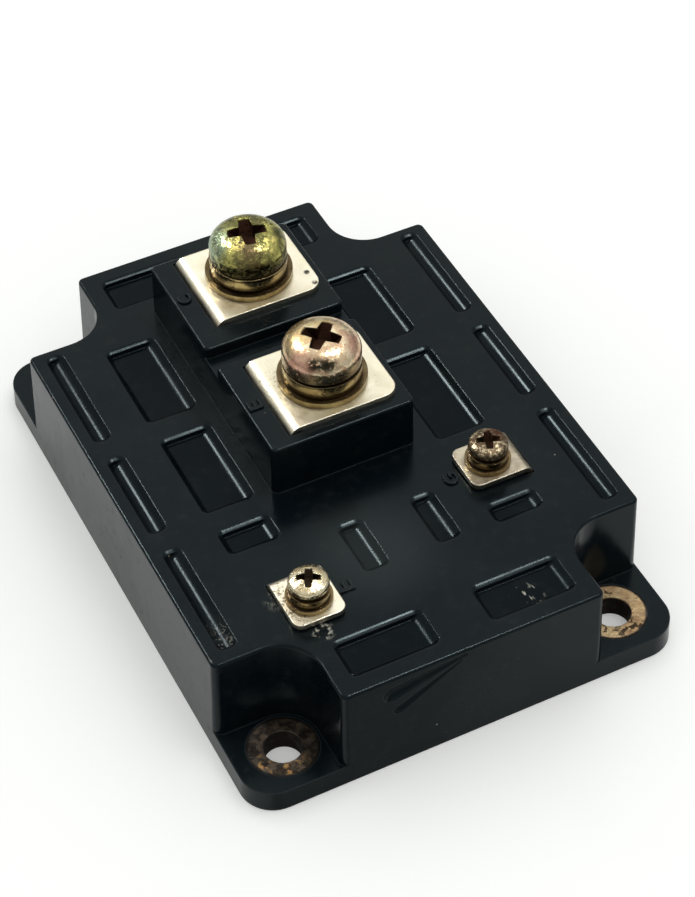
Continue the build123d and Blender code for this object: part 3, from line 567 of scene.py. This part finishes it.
class Metal(Look):
    """Metal with cloudy blotches between two colours and a fine matte grain, on which marks are laid."""

    def __init__(self, name):
        light, dark, roughness, blotch, self.depth, self.edge_radius = METALS[name]
        super().__init__(name, 1.0, roughness)
        cloud = self.ramp(self.noise(blotch, METAL_DETAIL), *BLOTCH_LEVELS)
        self.color = self.blend(cloud, light, dark)
        least, most = BLOTCH_ROUGHNESS
        grain = self.scale(self.noise(GRAIN_SIZE), *GRAIN_ROUGHNESS)
        self.rough = self.plus(self.scale(cloud, roughness + least, roughness + most), grain)
        self.height = self.noise(DENT_SIZE, METAL_DETAIL)

    def tint(self, mask, color, share=1.0):
        """Lays a share of a colour over the metal where mask is 1."""
        self.color = self.layer(self.color, mask, color, share)

    def roughen(self, mask, amount):
        """Adds roughness where mask is 1."""
        self.rough = self.plus(self.rough, self.times(mask, amount))

    def pit(self, kind, mask):
        """Sinks one kind of pits where mask is 1."""
        size, start, full, color, share = PITS[kind]
        pits = self.times(self.ramp(self.noise(size, PIT_DETAIL), start, full), mask)
        self.tint(pits, color, share)
        self.roughen(pits, PIT_ROUGHNESS)
        self.height = self.minus(self.height, self.times(pits, PIT_SINK))

    def soil_and_shade(self, dirt_and_shade, color):
        """Lays one dull colour on the metal, for dirt and for painted shade."""
        self.tint(dirt_and_shade, color)
        self.roughen(dirt_and_shade, DIRT_AND_SHADE_ROUGHNESS)

    def recess(self, head_top, crown, reach):
        """1 inside a screw's recess: near the head's top, and below its crown."""
        x, y, top = head_top
        depth = crown - RECESS_EDGE
        below = self.near((x, y, top - crown), depth - RECESS_FADE, depth)
        return self.times(below, self.near(head_top, reach, reach + RECESS_SIDE_FADE))

    def finished(self):
        """Joins up the colour, roughness and relief."""
        self.set("Base Color", self.color)
        self.set("Roughness", self.rough)
        self.set("Normal", self.relief(self.height, self.depth, self.round_normal(self.edge_radius)))
        return self.material


# Materials

def case_plastic():
    """Black moulding with a cold tone: fine grain, handling haze, dust and a few scuffs; a spot of painted
    sheen with wear, and paler edges that are wear and painted highlight.
    """
    look = Look("case_plastic", metallic=0.0, roughness=CASE_ROUGHNESS)
    look.set("IOR", CASE_IOR)
    look.set("Specular Tint", CASE_SPECULAR_TINT)
    look.set("Specular IOR Level", case_gloss(look))
    haze = look.patches("case_haze")
    grime = look.patches("case_grime")
    edge = look.edges(CASE_EDGE_WIDTH)
    look.set("Base Color", case_color(look, haze, grime, edge))
    rough = look.plus(look.scale(haze, *HAZE_ROUGHNESS), look.scale(grime, 0.0, GRIME_ROUGHNESS))
    look.set("Roughness", look.plus(rough, look.scale(edge, 0.0, EDGE_ROUGHNESS)))
    width, depth = CASE_WAVES
    waves = look.relief(look.noise(width, FINE_DETAIL), depth, look.round_normal(CASE_ROUND))
    width, depth = CASE_GRAIN
    look.set("Normal", look.relief(look.noise(width, FINE_DETAIL), depth, waves))
    return look.material


def case_gloss(look):
    """Specular level of the case: lower in pockets and left on the near wall, least on the block's side."""
    floors = look.times(look.level(DISH_FLOOR, FLOOR_FADE), look.facing("Z", *FLOOR_FACING))
    dull = look.times(look.along("X", DULL_TO, DULL_FROM), look.facing("Y", *WALL_FACING))
    gloss = look.scale(look.most(floors, dull), CASE_SPECULAR, CASE_DULL_SPECULAR)
    block_side = look.times(look.facing("X", *WALL_FACING), look.along("Z", *BLOCK_SIDE_RISE))
    return look.times(gloss, look.scale(block_side, 1.0, BLOCK_SIDE_GLOSS))


def case_color(look, haze, grime, edge):
    """Colour of the case: black, greyed by haze and grime, lighter at one spot as painted sheen with wear,
    paler on open edges as wear and painted highlight, and dusty.
    """
    color = look.blend(haze, CASE_BLACK, CASE_HAZE)
    # A spot painted lighter: painted sheen with some wear
    color = look.layer(color, look.near(*SHEEN_AND_WEAR_SPOT), *CASE_WEAR_AND_SHEEN)
    color = look.layer(color, grime, *CASE_GRIME)
    # Open edges painted paler: wear, and a painted highlight
    worn_lit_edge_color, edge_share = CASE_EDGE_WEAR_AND_HIGHLIGHT
    worn_and_lit_edges = look.times(edge, look.scale(look.crevices(CASE_CREVICE), edge_share, 0.0))
    color = look.blend(worn_and_lit_edges, color, worn_lit_edge_color)
    return look.blend(case_dust(look), color, CASE_DUST)


def case_dust(look):
    """Share of pale dust on the case: stray specks, and the crumbs, scuffs and dust at a few places."""
    stray = look.times(look.ramp(look.cells(STRAY_SPACING), *STRAY_RADII), look.patches("stray_dust"))
    places = look.most(look.near(*CRUMB_SPOT), look.near(*CORNER_CRUMB_SPOT))
    places = look.most(places, look.times(look.near(*AUX_PLATE_DIRT_SPOT), AUX_PLATE_DIRT_SHARE))
    crumbs = look.times(look.patches("crumbs"), places)
    scuffs = look.times(look.patches("scuffs", SCUFF_STRETCH), look.near(*SCUFF_SPOT))
    powder = look.times(look.patches("powder"), look.near(*SLOT_DUST_SPOT))
    sunk = look.times(look.along("Z", *SLOT_DUST_SINK), look.facing("Z", *DUST_FACING))
    dust = look.most(crumbs, scuffs)
    dust = look.most(dust, look.times(look.times(powder, sunk), SLOT_DUST_SHARE))
    return look.most(dust, look.times(stray, STRAY_SHARE))


def terminal_nickel():
    """Warm matte nickel, with dark pits on the emitter's fold and specks by the collector's corner."""
    look = Metal("terminal_nickel")
    look.pit("nickel", look.patches("nickel_pits"))
    look.pit("emitter_bend", look.near(*EMITTER_BEND_SPOT))
    for place in AUX_PITS:
        look.pit("aux_plate", look.near(place, *AUX_PIT_RADII))
    tarnish = look.scale(look.patches("nickel_tarnish"), *NICKEL_TARNISH_SHARES)
    look.tint(look.times(tarnish, look.near(*GATE_PLATE_SPOT)), NICKEL_TARNISH)
    stale = look.times(look.patches("nickel_stale"), look.near(*EMITTER_PLATE_SPOT))
    look.tint(stale, *NICKEL_STALE)
    look.tint(look.edges(NICKEL_EDGE_WIDTH), *NICKEL_EDGE)
    for place in COLLECTOR_SPECKS:
        look.pit("collector_specks", look.near(place, *COLLECTOR_SPECK_RADII))
    return look.finished()


def main_screw_plate():
    """Worn chromate: olive, and gold that is partly a painted highlight, on the collector's screw, pinkish
    gold on the emitter's.
    """
    look = Metal("main_screw_plate")
    look.tint(look.patches("main_pale"), *MAIN_PALE)
    for place, color in EMITTER_TINTS.items():
        patch = look.times(look.near(place, *EMITTER_TINT_RADII), look.patches("emitter_tints"))
        look.tint(patch, color, EMITTER_TINT_SHARE)
    for place in EMITTER_SMUDGES:
        look.pit("emitter_smudge", look.near(place, *EMITTER_SMUDGE_RADII))
    far = look.along("Y", BETWEEN_MAIN_SCREWS_Y - SPLIT_FADE, BETWEEN_MAIN_SCREWS_Y + SPLIT_FADE)
    look.tint(far, collector_screw_color(look))
    look.pit("collector_screw", far)
    look.pit("main_screws", look.patches("main_pits"))
    # Recesses painted dark: painted shade
    for x, y, top in MAIN_HEAD_TOPS:
        worn_top = (x, y, top - CROWN_WORN)
        look.soil_and_shade(look.recess(worn_top, WORN_CROWN, MAIN_RECESS_REACH), MAIN_RECESS_SHADE)
    # Lower rims of the heads painted darker: painted shade
    look.tint(look.along("Z", MAIN_SKIRT_TOP, MAIN_SKIRT_BOTTOM), *MAIN_SKIRT_SHADE)
    return look.finished()


def collector_screw_color(look):
    """Olive, with gold patches before the recess that are crystals and a painted highlight, a brown stain
    and a pale green left side.
    """
    color = look.blend(look.patches("collector_olive"), *COLLECTOR_OLIVE)
    color = look.layer(color, look.near(*COLLECTOR_PALE_SPOT), *COLLECTOR_PALE)
    color = look.layer(color, look.near(*COLLECTOR_STAIN_SPOT), *COLLECTOR_STAIN)
    front = look.times(look.near(*COLLECTOR_FRONT_SPOT), look.patches("collector_front"))
    color = look.layer(color, front, *COLLECTOR_FRONT)
    # Gold patches before the recess: crystals, and a painted highlight
    glints = look.most(look.near(*COLLECTOR_GLINT_LEFT), look.near(*COLLECTOR_GLINT_RIGHT))
    return look.blend(look.times(look.patches("collector_glints"), glints), color, COLLECTOR_GOLD_GLINT)


def aux_screw_plate():
    """Pale gold on the auxiliary emitter's screw; dull grey with rust in the recess on the gate's."""
    look = Metal("aux_screw_plate")
    gate = look.along("X", -SPLIT_FADE, SPLIT_FADE)
    look.tint(gate, look.blend(look.patches("gate_mottle"), *GATE_MOTTLE))
    look.roughen(gate, GATE_ROUGHNESS)
    look.pit("aux_screws", look.patches("aux_pits"))
    # Recesses painted dark: painted shade
    for head_top in AUX_HEAD_TOPS:
        look.soil_and_shade(look.recess(head_top, AUX_CROWN, AUX_RECESS_REACH), AUX_RECESS_SHADE)
    look.soil_and_shade(look.times(look.near(*GATE_RUST_SPOT), look.patches("gate_rust")), GATE_RUST)
    return look.finished()


def washer_plate():
    """Bronze-gold chromate, darker in patches and on small washers, with painted shade in crevices and in
    bands round spring washers.
    """
    look = Metal("washer_plate")
    look.pit("washers", look.patches("washer_pits"))
    # Crevices painted dark: painted shade
    look.soil_and_shade(look.crevices(WASHER_CREVICE), WASHER_CREVICE_SHADE)
    look.tint(look.along("Z", BLOCK_TOP, BLOCK_TOP - SMALL_WASHER_FADE), *SMALL_WASHER_BROWN)
    # Bands of painted shade round the spring washers
    for start, full, end in SPRING_BANDS:
        band = look.times(look.along("Z", start, full), look.along("Z", end, end + SPRING_BAND_FADE))
        look.tint(band, *SPRING_BAND_SHADE)
    return look.finished()


def bush_tops():
    """Middle of each bush's top face, in millimetres."""
    tops = []
    for node in BUSHES:
        low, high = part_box(node)
        tops.append(((low[0] + high[0]) / 2 / MM, (low[1] + high[1]) / 2 / MM, high[2] / MM))
    return tops


def bush_steel():
    """Steel stained tan and brown by rust, with dark specks; darker at the near left corner; painted shade
    in the bore and in a ring round the outer rim.
    """
    look = Metal("bush_steel")
    rust = look.patches("bush_rust")
    look.tint(rust, *BUSH_RUST)
    mottle = look.blend(look.patches("bush_mottle"), *BUSH_MOTTLE)
    orange = look.times(look.near(*BUSH_ORANGE_SPOT), look.patches("bush_orange"))
    look.tint(look.near(*NEAR_LEFT_BUSH_SPOT), look.blend(orange, mottle, BUSH_ORANGE))
    look.pit("bushes", look.patches("bush_pits"))
    look.pit("bush_specks", look.near(*BUSH_SPECK_SPOT))
    # Bore painted dark: painted shade
    look.soil_and_shade(look.along("Z", BUSH_LIP, BUSH_LIP - BUSH_LIP_FADE), BORE_SHADE)
    # Ring of painted shade for the gap round each bush
    start, full, ending, end = BUSH_RING
    for top in bush_tops():
        ring = look.minus(look.near(top, ending, end), look.near(top, start, full))
        look.tint(ring, BUSH_GAP_SHADE)
    look.set("Metallic", look.scale(rust, BUSH_METALLIC, BUSH_RUST_METALLIC))
    return look.finished()


def base_nickel():
    """Even nickel plate with faint long marks from wiping."""
    look = Metal("base_nickel")
    look.height = look.noise(WIPE_SIZE, stretch=WIPE_STRETCH)
    return look.finished()


def nut_steel():
    """Plain plated steel."""
    return Metal("nut_steel").finished()


def copper():
    """Bare copper, slightly tarnished."""
    return Metal("copper").finished()


def bond_wire():
    """Drawn aluminium wire."""
    return Metal("bond_wire").finished()


def silicon():
    """Metallised chip, almost smooth."""
    return Metal("silicon").finished()


def substrate_ceramic():
    """White alumina."""
    look = Look("substrate_ceramic", metallic=0.0, roughness=CERAMIC_ROUGHNESS)
    look.set("Base Color", look.blend(look.noise(CERAMIC_CLOUD, CERAMIC_DETAIL), *CERAMIC_COLORS))
    width, depth = CERAMIC_GRAIN
    look.set("Normal", look.relief(look.noise(width, FINE_DETAIL), depth))
    return look.material


MATERIAL_OF_SLOT = {
    "case_plastic": case_plastic,
    "base_nickel": base_nickel,
    "bush_steel": bush_steel,
    "terminal_nickel": terminal_nickel,
    "main_screw_plate": main_screw_plate,
    "aux_screw_plate": aux_screw_plate,
    "washer_plate": washer_plate,
    "nut_steel": nut_steel,
    "copper": copper,
    "substrate_ceramic": substrate_ceramic,
    "silicon": silicon,
    "bond_wire": bond_wire,
}


def dress(materials):
    """Gives every CAD node the material of its slot."""
    for part in frame["record"]["subparts"]:
        mesh = frame["nodes"][part["node"]].data
        mesh.materials.clear()
        mesh.materials.append(materials[part["material_slot"]])


# Pieces

def add_mesh(name, mesh, material):
    """Makes a piece of the object from a mesh."""
    piece = bpy.data.objects.new(name, mesh)
    bpy.context.scene.collection.objects.link(piece)
    mesh.materials.clear()
    mesh.materials.append(material)
    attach(piece, "root")
    return piece


def joined(mesh):
    """Joins corners of a mesh that lie on each other."""
    bmesh.ops.remove_doubles(mesh, verts=mesh.verts, dist=MERGE_DISTANCE * MM)


def node_copy(node):
    """Copy of a CAD node's mesh for changes, with its faces joined."""
    mesh = bmesh.new()
    mesh.from_mesh(frame["nodes"][node].data)
    joined(mesh)
    return mesh


def add_shaded(name, mesh, material):
    """Makes a piece from a changed copy of a CAD node's mesh, with smooth shading."""
    for face in mesh.faces:
        face.smooth = True
    data = bpy.data.meshes.new(name)
    mesh.to_mesh(data)
    mesh.free()
    even_normals(data)
    return add_mesh(name, data, material)


def even_normals(mesh):
    """Shades flat faces flat and rounds round: neighbours within the sharp angle count by their area."""
    around = [[] for _ in mesh.vertices]
    weighted = [polygon.normal * polygon.area for polygon in mesh.polygons]
    for polygon in mesh.polygons:
        for corner in polygon.vertices:
            around[corner].append(polygon.index)
    least = math.cos(math.radians(SHARP_ANGLE))
    normals = []
    for polygon in mesh.polygons:
        for corner in polygon.vertices:
            normal = Vector()
            for other in around[corner]:
                if mesh.polygons[other].normal.dot(polygon.normal) > least:
                    normal += weighted[other]
            normals.append(normal.normalized())
    mesh.normals_split_custom_set(normals)


def at_level(corner, level):
    """Whether a corner of a mesh lies at a height, in millimetres."""
    return abs(corner.co.z - level * MM) < LEVEL_TOLERANCE * MM


def wall_inset(depth, side):
    """How far inwards a pocket's wall has come at a depth below its mouth, in millimetres."""
    rim, mouth, slope, foot = side
    rim_start = math.radians(POCKET_RIM_START)
    rim_turn = math.radians(POCKET_RIM_TURN)
    rim_depth = rim * (math.cos(rim_start) - math.cos(rim_turn))
    if depth < rim_depth:
        return rim * (math.sin(math.acos(math.cos(rim_start) - depth / rim)) - math.sin(rim_start))
    turn = math.radians(slope)
    mouth_end = rim_depth + mouth * (1 - math.cos(turn))
    foot_start = DISH_DEPTH - foot * (1 - math.cos(turn))
    rim_width = rim * (math.sin(rim_turn) - math.sin(rim_start))
    if depth <= mouth_end:
        return rim_width + mouth * math.sin(math.acos(1 - (depth - rim_depth) / mouth))
    along = rim_width + mouth * math.sin(turn) + (min(depth, foot_start) - mouth_end) / math.tan(turn)
    if depth <= foot_start:
        return along
    left = math.acos(min(1 - (DISH_DEPTH - depth) / foot, 1.0))
    return along + foot * (math.sin(turn) - math.sin(left))


def inset(point, low, high, walls):
    """A point of a rounded rectangle's edge, moved inwards by each wall's own distance, all in metres."""
    bend = POCKET_CORNER * MM
    moved = []
    for axis in (0, 1):
        lower, upper = walls[axis]
        nearest = max(low[axis] + bend, min(high[axis] - bend, point[axis]))
        outward = (point[axis] - nearest) / bend
        step = min(upper if outward > 0 else lower, bend)
        moved.append(max(low[axis] + lower, min(high[axis] - upper, point[axis] - outward * step)))
    return moved


def dish(mesh, mouth):
    """Moulded pocket inside a mouth: rings of faces that step down the wall, and a floor."""
    low = [min(corner.co[axis] for corner in mouth) for axis in (0, 1)]
    high = [max(corner.co[axis] for corner in mouth) for axis in (0, 1)]
    sides = ((POCKET_LEFT, POCKET_RIGHT), (POCKET_NEAR, POCKET_FAR))
    upper = mouth
    for ring in range(1, POCKET_RINGS + 1):
        depth = DISH_DEPTH * (1 - math.cos(math.pi * ring / POCKET_RINGS)) / 2
        walls = [[wall_inset(depth, side) * MM for side in pair] for pair in sides]
        if any(high[axis] - low[axis] - sum(walls[axis]) < LEAST_FLOOR * MM for axis in (0, 1)):
            break
        level = (BODY_TOP - depth) * MM
        lower = [mesh.verts.new((*inset(corner.co, low, high, walls), level)) for corner in mouth]
        for index in range(len(mouth)):
            last = index - 1
            mesh.faces.new((upper[last], upper[index], lower[index], lower[last]))
        upper = lower
    mesh.faces.new(upper)


def pocket_mouth(pocket_floor):
    """Corners of the mouth above a pocket's floor, in their order round it."""
    mouth = []
    for corner in pocket_floor.verts:
        for edge in corner.link_edges:
            other = edge.other_vert(corner)
            upright = (other.co.xy - corner.co.xy).length < LEVEL_TOLERANCE * MM
            if upright and at_level(other, BODY_TOP):
                mouth.append(other)
    return mouth


def rounded_case(material):
    """Copy of the case with its pockets dished as they were moulded."""
    mesh = node_copy("case")
    floor_faces = [
        face for face in mesh.faces
        if face.normal.z > LIES_FLAT and all(at_level(corner, POCKET_FLOOR) for corner in face.verts)
    ]
    floors = bmesh.ops.dissolve_faces(mesh, faces=floor_faces)["region"]
    mouths = [pocket_mouth(face) for face in floors]
    old_faces = set(floors)
    for face in floors:
        for corner in face.verts:
            old_faces.update(corner.link_faces)
    bmesh.ops.delete(mesh, geom=list(old_faces), context="FACES")
    for mouth in mouths:
        dish(mesh, mouth)
    joined(mesh)
    bmesh.ops.recalc_face_normals(mesh, faces=mesh.faces)
    piece = add_shaded("case_shell", mesh, material)
    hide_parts("case")


def from_axis(corner, head_top):
    """Distance of a corner from a screw's axis, in millimetres."""
    return math.hypot(corner.co.x / MM - head_top[0], corner.co.y / MM - head_top[1])


def crown_level(corner, head_top):
    """Height of a screw's crown over a corner, as the solid has it, in millimetres."""
    return head_top[2] - MAIN_CROWN + math.sqrt(MAIN_CROWN ** 2 - from_axis(corner, head_top) ** 2)


def on_crown(corner, head_top):
    """Whether a corner lies on the crown of a screw's head."""
    if from_axis(corner, head_top) > CROWN_REACH + CROWN_TOLERANCE:
        return False
    return abs(corner.co.z / MM - crown_level(corner, head_top)) < CROWN_TOLERANCE


def divide_crown(mesh, head_top):
    """Cuts a crown's faces smaller, with the new corners on the round of the crown."""
    crown_faces = [
        face for face in mesh.faces
        if face.normal.z > CROWN_UPRIGHT and all(on_crown(corner, head_top) for corner in face.verts)
    ]
    edges = list({edge for face in crown_faces for edge in face.edges})
    made = bmesh.ops.subdivide_edges(mesh, edges=edges, cuts=CROWN_CUTS, use_grid_fill=True)
    for corner in made["geom_inner"]:
        if isinstance(corner, bmesh.types.BMVert):
            corner.co.z = crown_level(corner, head_top) * MM


def flatten_crown(mesh, head_top):
    """Lowers a crown at its middle, and less towards the edge."""
    for corner in mesh.verts:
        away = from_axis(corner, head_top)
        if away < CROWN_REACH and corner.co.z > HEAD_UNDERSIDE * MM:
            corner.co.z -= CROWN_WORN * (1 - (away / CROWN_REACH) ** 2) ** 2 * MM


def worn_screws(material):
    """Copy of the main screws with flatter crowns."""
    mesh = node_copy("main_screws")
    for head_top in MAIN_HEAD_TOPS:
        divide_crown(mesh, head_top)
        flatten_crown(mesh, head_top)
    bmesh.ops.triangulate(mesh, faces=mesh.faces)
    piece = add_shaded("worn_main_screws", mesh, material)
    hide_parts("main_screws")


def letter_mesh(name, text):
    """Thick bevelled letter of no set size."""
    curve = bpy.data.curves.new(name, "FONT")
    curve.body = text
    curve.extrude = LETTER_THICKNESS / 2
    curve.bevel_depth = LETTER_BEVEL
    curve.bevel_resolution = LETTER_BEVEL_STEPS
    curve.size = LETTER_DRAFT_SIZE
    draft = bpy.data.objects.new(name + "_draft", curve)
    bpy.context.scene.collection.objects.link(draft)
    bpy.context.view_layer.update()
    mesh = bpy.data.meshes.new_from_object(draft.evaluated_get(bpy.context.evaluated_depsgraph_get()))
    bpy.data.objects.remove(draft)
    return mesh


def raised_letter(name, text, middle, size, level, material):
    """One raised letter that reads along +Y, with its top towards -X."""
    mesh = letter_mesh(name, text)
    low = [min(corner.co[axis] for corner in mesh.vertices) for axis in range(3)]
    high = [max(corner.co[axis] for corner in mesh.vertices) for axis in range(3)]
    height, width = size
    for corner in mesh.vertices:
        across = ((corner.co.x - low[0]) / (high[0] - low[0]) - 0.5) * width
        up = ((corner.co.y - low[1]) / (high[1] - low[1]) - 0.5) * height
        rise = (corner.co.z - low[2]) / (high[2] - low[2]) * LETTER_THICKNESS - LETTER_SINK
        corner.co = Vector((middle[0] - up, middle[1] + across, level + rise)) * MM
    add_mesh(name, mesh, material)


# Stage, light and camera

def floor():
    """Pale table that shows white to the camera and keeps the object's shadow."""
    bpy.ops.mesh.primitive_plane_add(size=FLOOR_SIZE * MM)
    plane = bpy.context.object
    plane.name = "floor"
    look = Look("floor", metallic=0.0, roughness=FLOOR_ROUGHNESS)
    marks = look.patches("floor_marks")
    mark_color = tuple(FLOOR_MARK_SHADE * part for part in FLOOR_COLOR)
    look.set("Base Color", look.blend(marks, FLOOR_COLOR, mark_color))
    look.set("Specular IOR Level", FLOOR_SPECULAR)
    path = look.nodes.new("ShaderNodeLightPath")
    seen = look.most(path.outputs["Is Camera Ray"], path.outputs["Is Glossy Ray"])
    seen = look.most(seen, path.outputs["Is Transmission Ray"])
    look.set("Emission Color", FLOOR_GLOW_COLOR)
    look.set("Emission Strength", look.times(seen, FLOOR_GLOW))
    plane.data.materials.append(look.material)


def world():
    """Light from above that fades towards the horizon, and more so on the far side."""
    sky = bpy.data.worlds.new("sky")
    bpy.context.scene.world = sky
    sky.use_nodes = True
    nodes = sky.node_tree.nodes
    links = sky.node_tree.links
    background = nodes["Background"]
    background.inputs["Color"].default_value = (*WORLD_COLOR, 1.0)
    direction = nodes.new("ShaderNodeTexCoord")
    parts = nodes.new("ShaderNodeSeparateXYZ")
    horizon = nodes.new("ShaderNodeMapRange")
    horizon.interpolation_type = "SMOOTHSTEP"
    horizon.inputs["From Min"].default_value = FAR_FROM
    horizon.inputs["From Max"].default_value = FAR_FULL
    horizon.inputs["To Min"].default_value = HORIZON_LIGHT
    horizon.inputs["To Max"].default_value = FAR_HORIZON_LIGHT
    strength = nodes.new("ShaderNodeMapRange")
    strength.interpolation_type = "SMOOTHSTEP"
    strength.inputs["From Max"].default_value = SKY_FROM
    strength.inputs["To Max"].default_value = SKY_LIGHT
    links.new(direction.outputs["Generated"], parts.inputs["Vector"])
    links.new(parts.outputs["Y"], horizon.inputs["Value"])
    links.new(horizon.outputs["Result"], strength.inputs["To Min"])
    links.new(parts.outputs["Z"], strength.inputs["Value"])
    links.new(strength.outputs["Result"], background.inputs["Strength"])


def softbox(name, place, size, watts):
    """Square area light that faces the object."""
    lamp = bpy.data.lights.new(name, "AREA")
    lamp.size = size * MM
    lamp.energy = watts
    light = bpy.data.objects.new(name, lamp)
    light.location = Vector(place) * MM
    light.rotation_euler = light.location.to_track_quat("Z", "Y").to_euler()
    bpy.context.scene.collection.objects.link(light)
    return light


def sparkle(name, place, size, watts):
    """Small light that adds highlights and lights nothing else."""
    light = softbox(name, place, size, watts)
    light.visible_diffuse = False
    light.data.cycles.max_bounces = 0


def camera():
    """Camera where the photograph was taken from."""
    azimuth = math.radians(CAMERA_AZIMUTH)
    elevation = math.radians(CAMERA_ELEVATION)
    back = Vector((
        math.sin(azimuth) * math.cos(elevation),
        -math.cos(azimuth) * math.cos(elevation),
        math.sin(elevation),
    ))
    level_right = Vector((math.cos(azimuth), math.sin(azimuth), 0.0))
    right = Matrix.Rotation(math.radians(CAMERA_ROLL), 3, back) @ level_right
    up = back.cross(right)
    data = bpy.data.cameras.new("camera")
    data.sensor_width = SENSOR
    data.lens = CAMERA_FOCAL_PIXELS / PHOTO_HEIGHT_PIXELS * SENSOR
    data.clip_start = CAMERA_CLIP_START * MM
    view = bpy.data.objects.new("camera", data)
    turned = Matrix((right, up, back)).transposed().to_4x4()
    view.matrix_world = Matrix.Translation(Vector(CAMERA_EYE) * MM) @ turned
    bpy.context.scene.collection.objects.link(view)
    bpy.context.scene.camera = view


def main():
    """Builds the whole scene around the CAD part."""
    materials = {slot: make() for slot, make in MATERIAL_OF_SLOT.items()}
    dress(materials)
    rounded_case(materials["case_plastic"])
    worn_screws(materials["main_screw_plate"])
    for name, (text, middle, size, level) in LETTERS.items():
        raised_letter(name, text, middle, size, level, materials["case_plastic"])
    floor()
    world()
    for name, (place, size, watts) in SOFTBOXES.items():
        softbox(name, place, size, watts)
    for name, (place, size, watts) in SPARKLES.items():
        sparkle(name, place, size, watts)
    camera()
    bpy.context.scene.view_settings.view_transform = "Standard"


main()
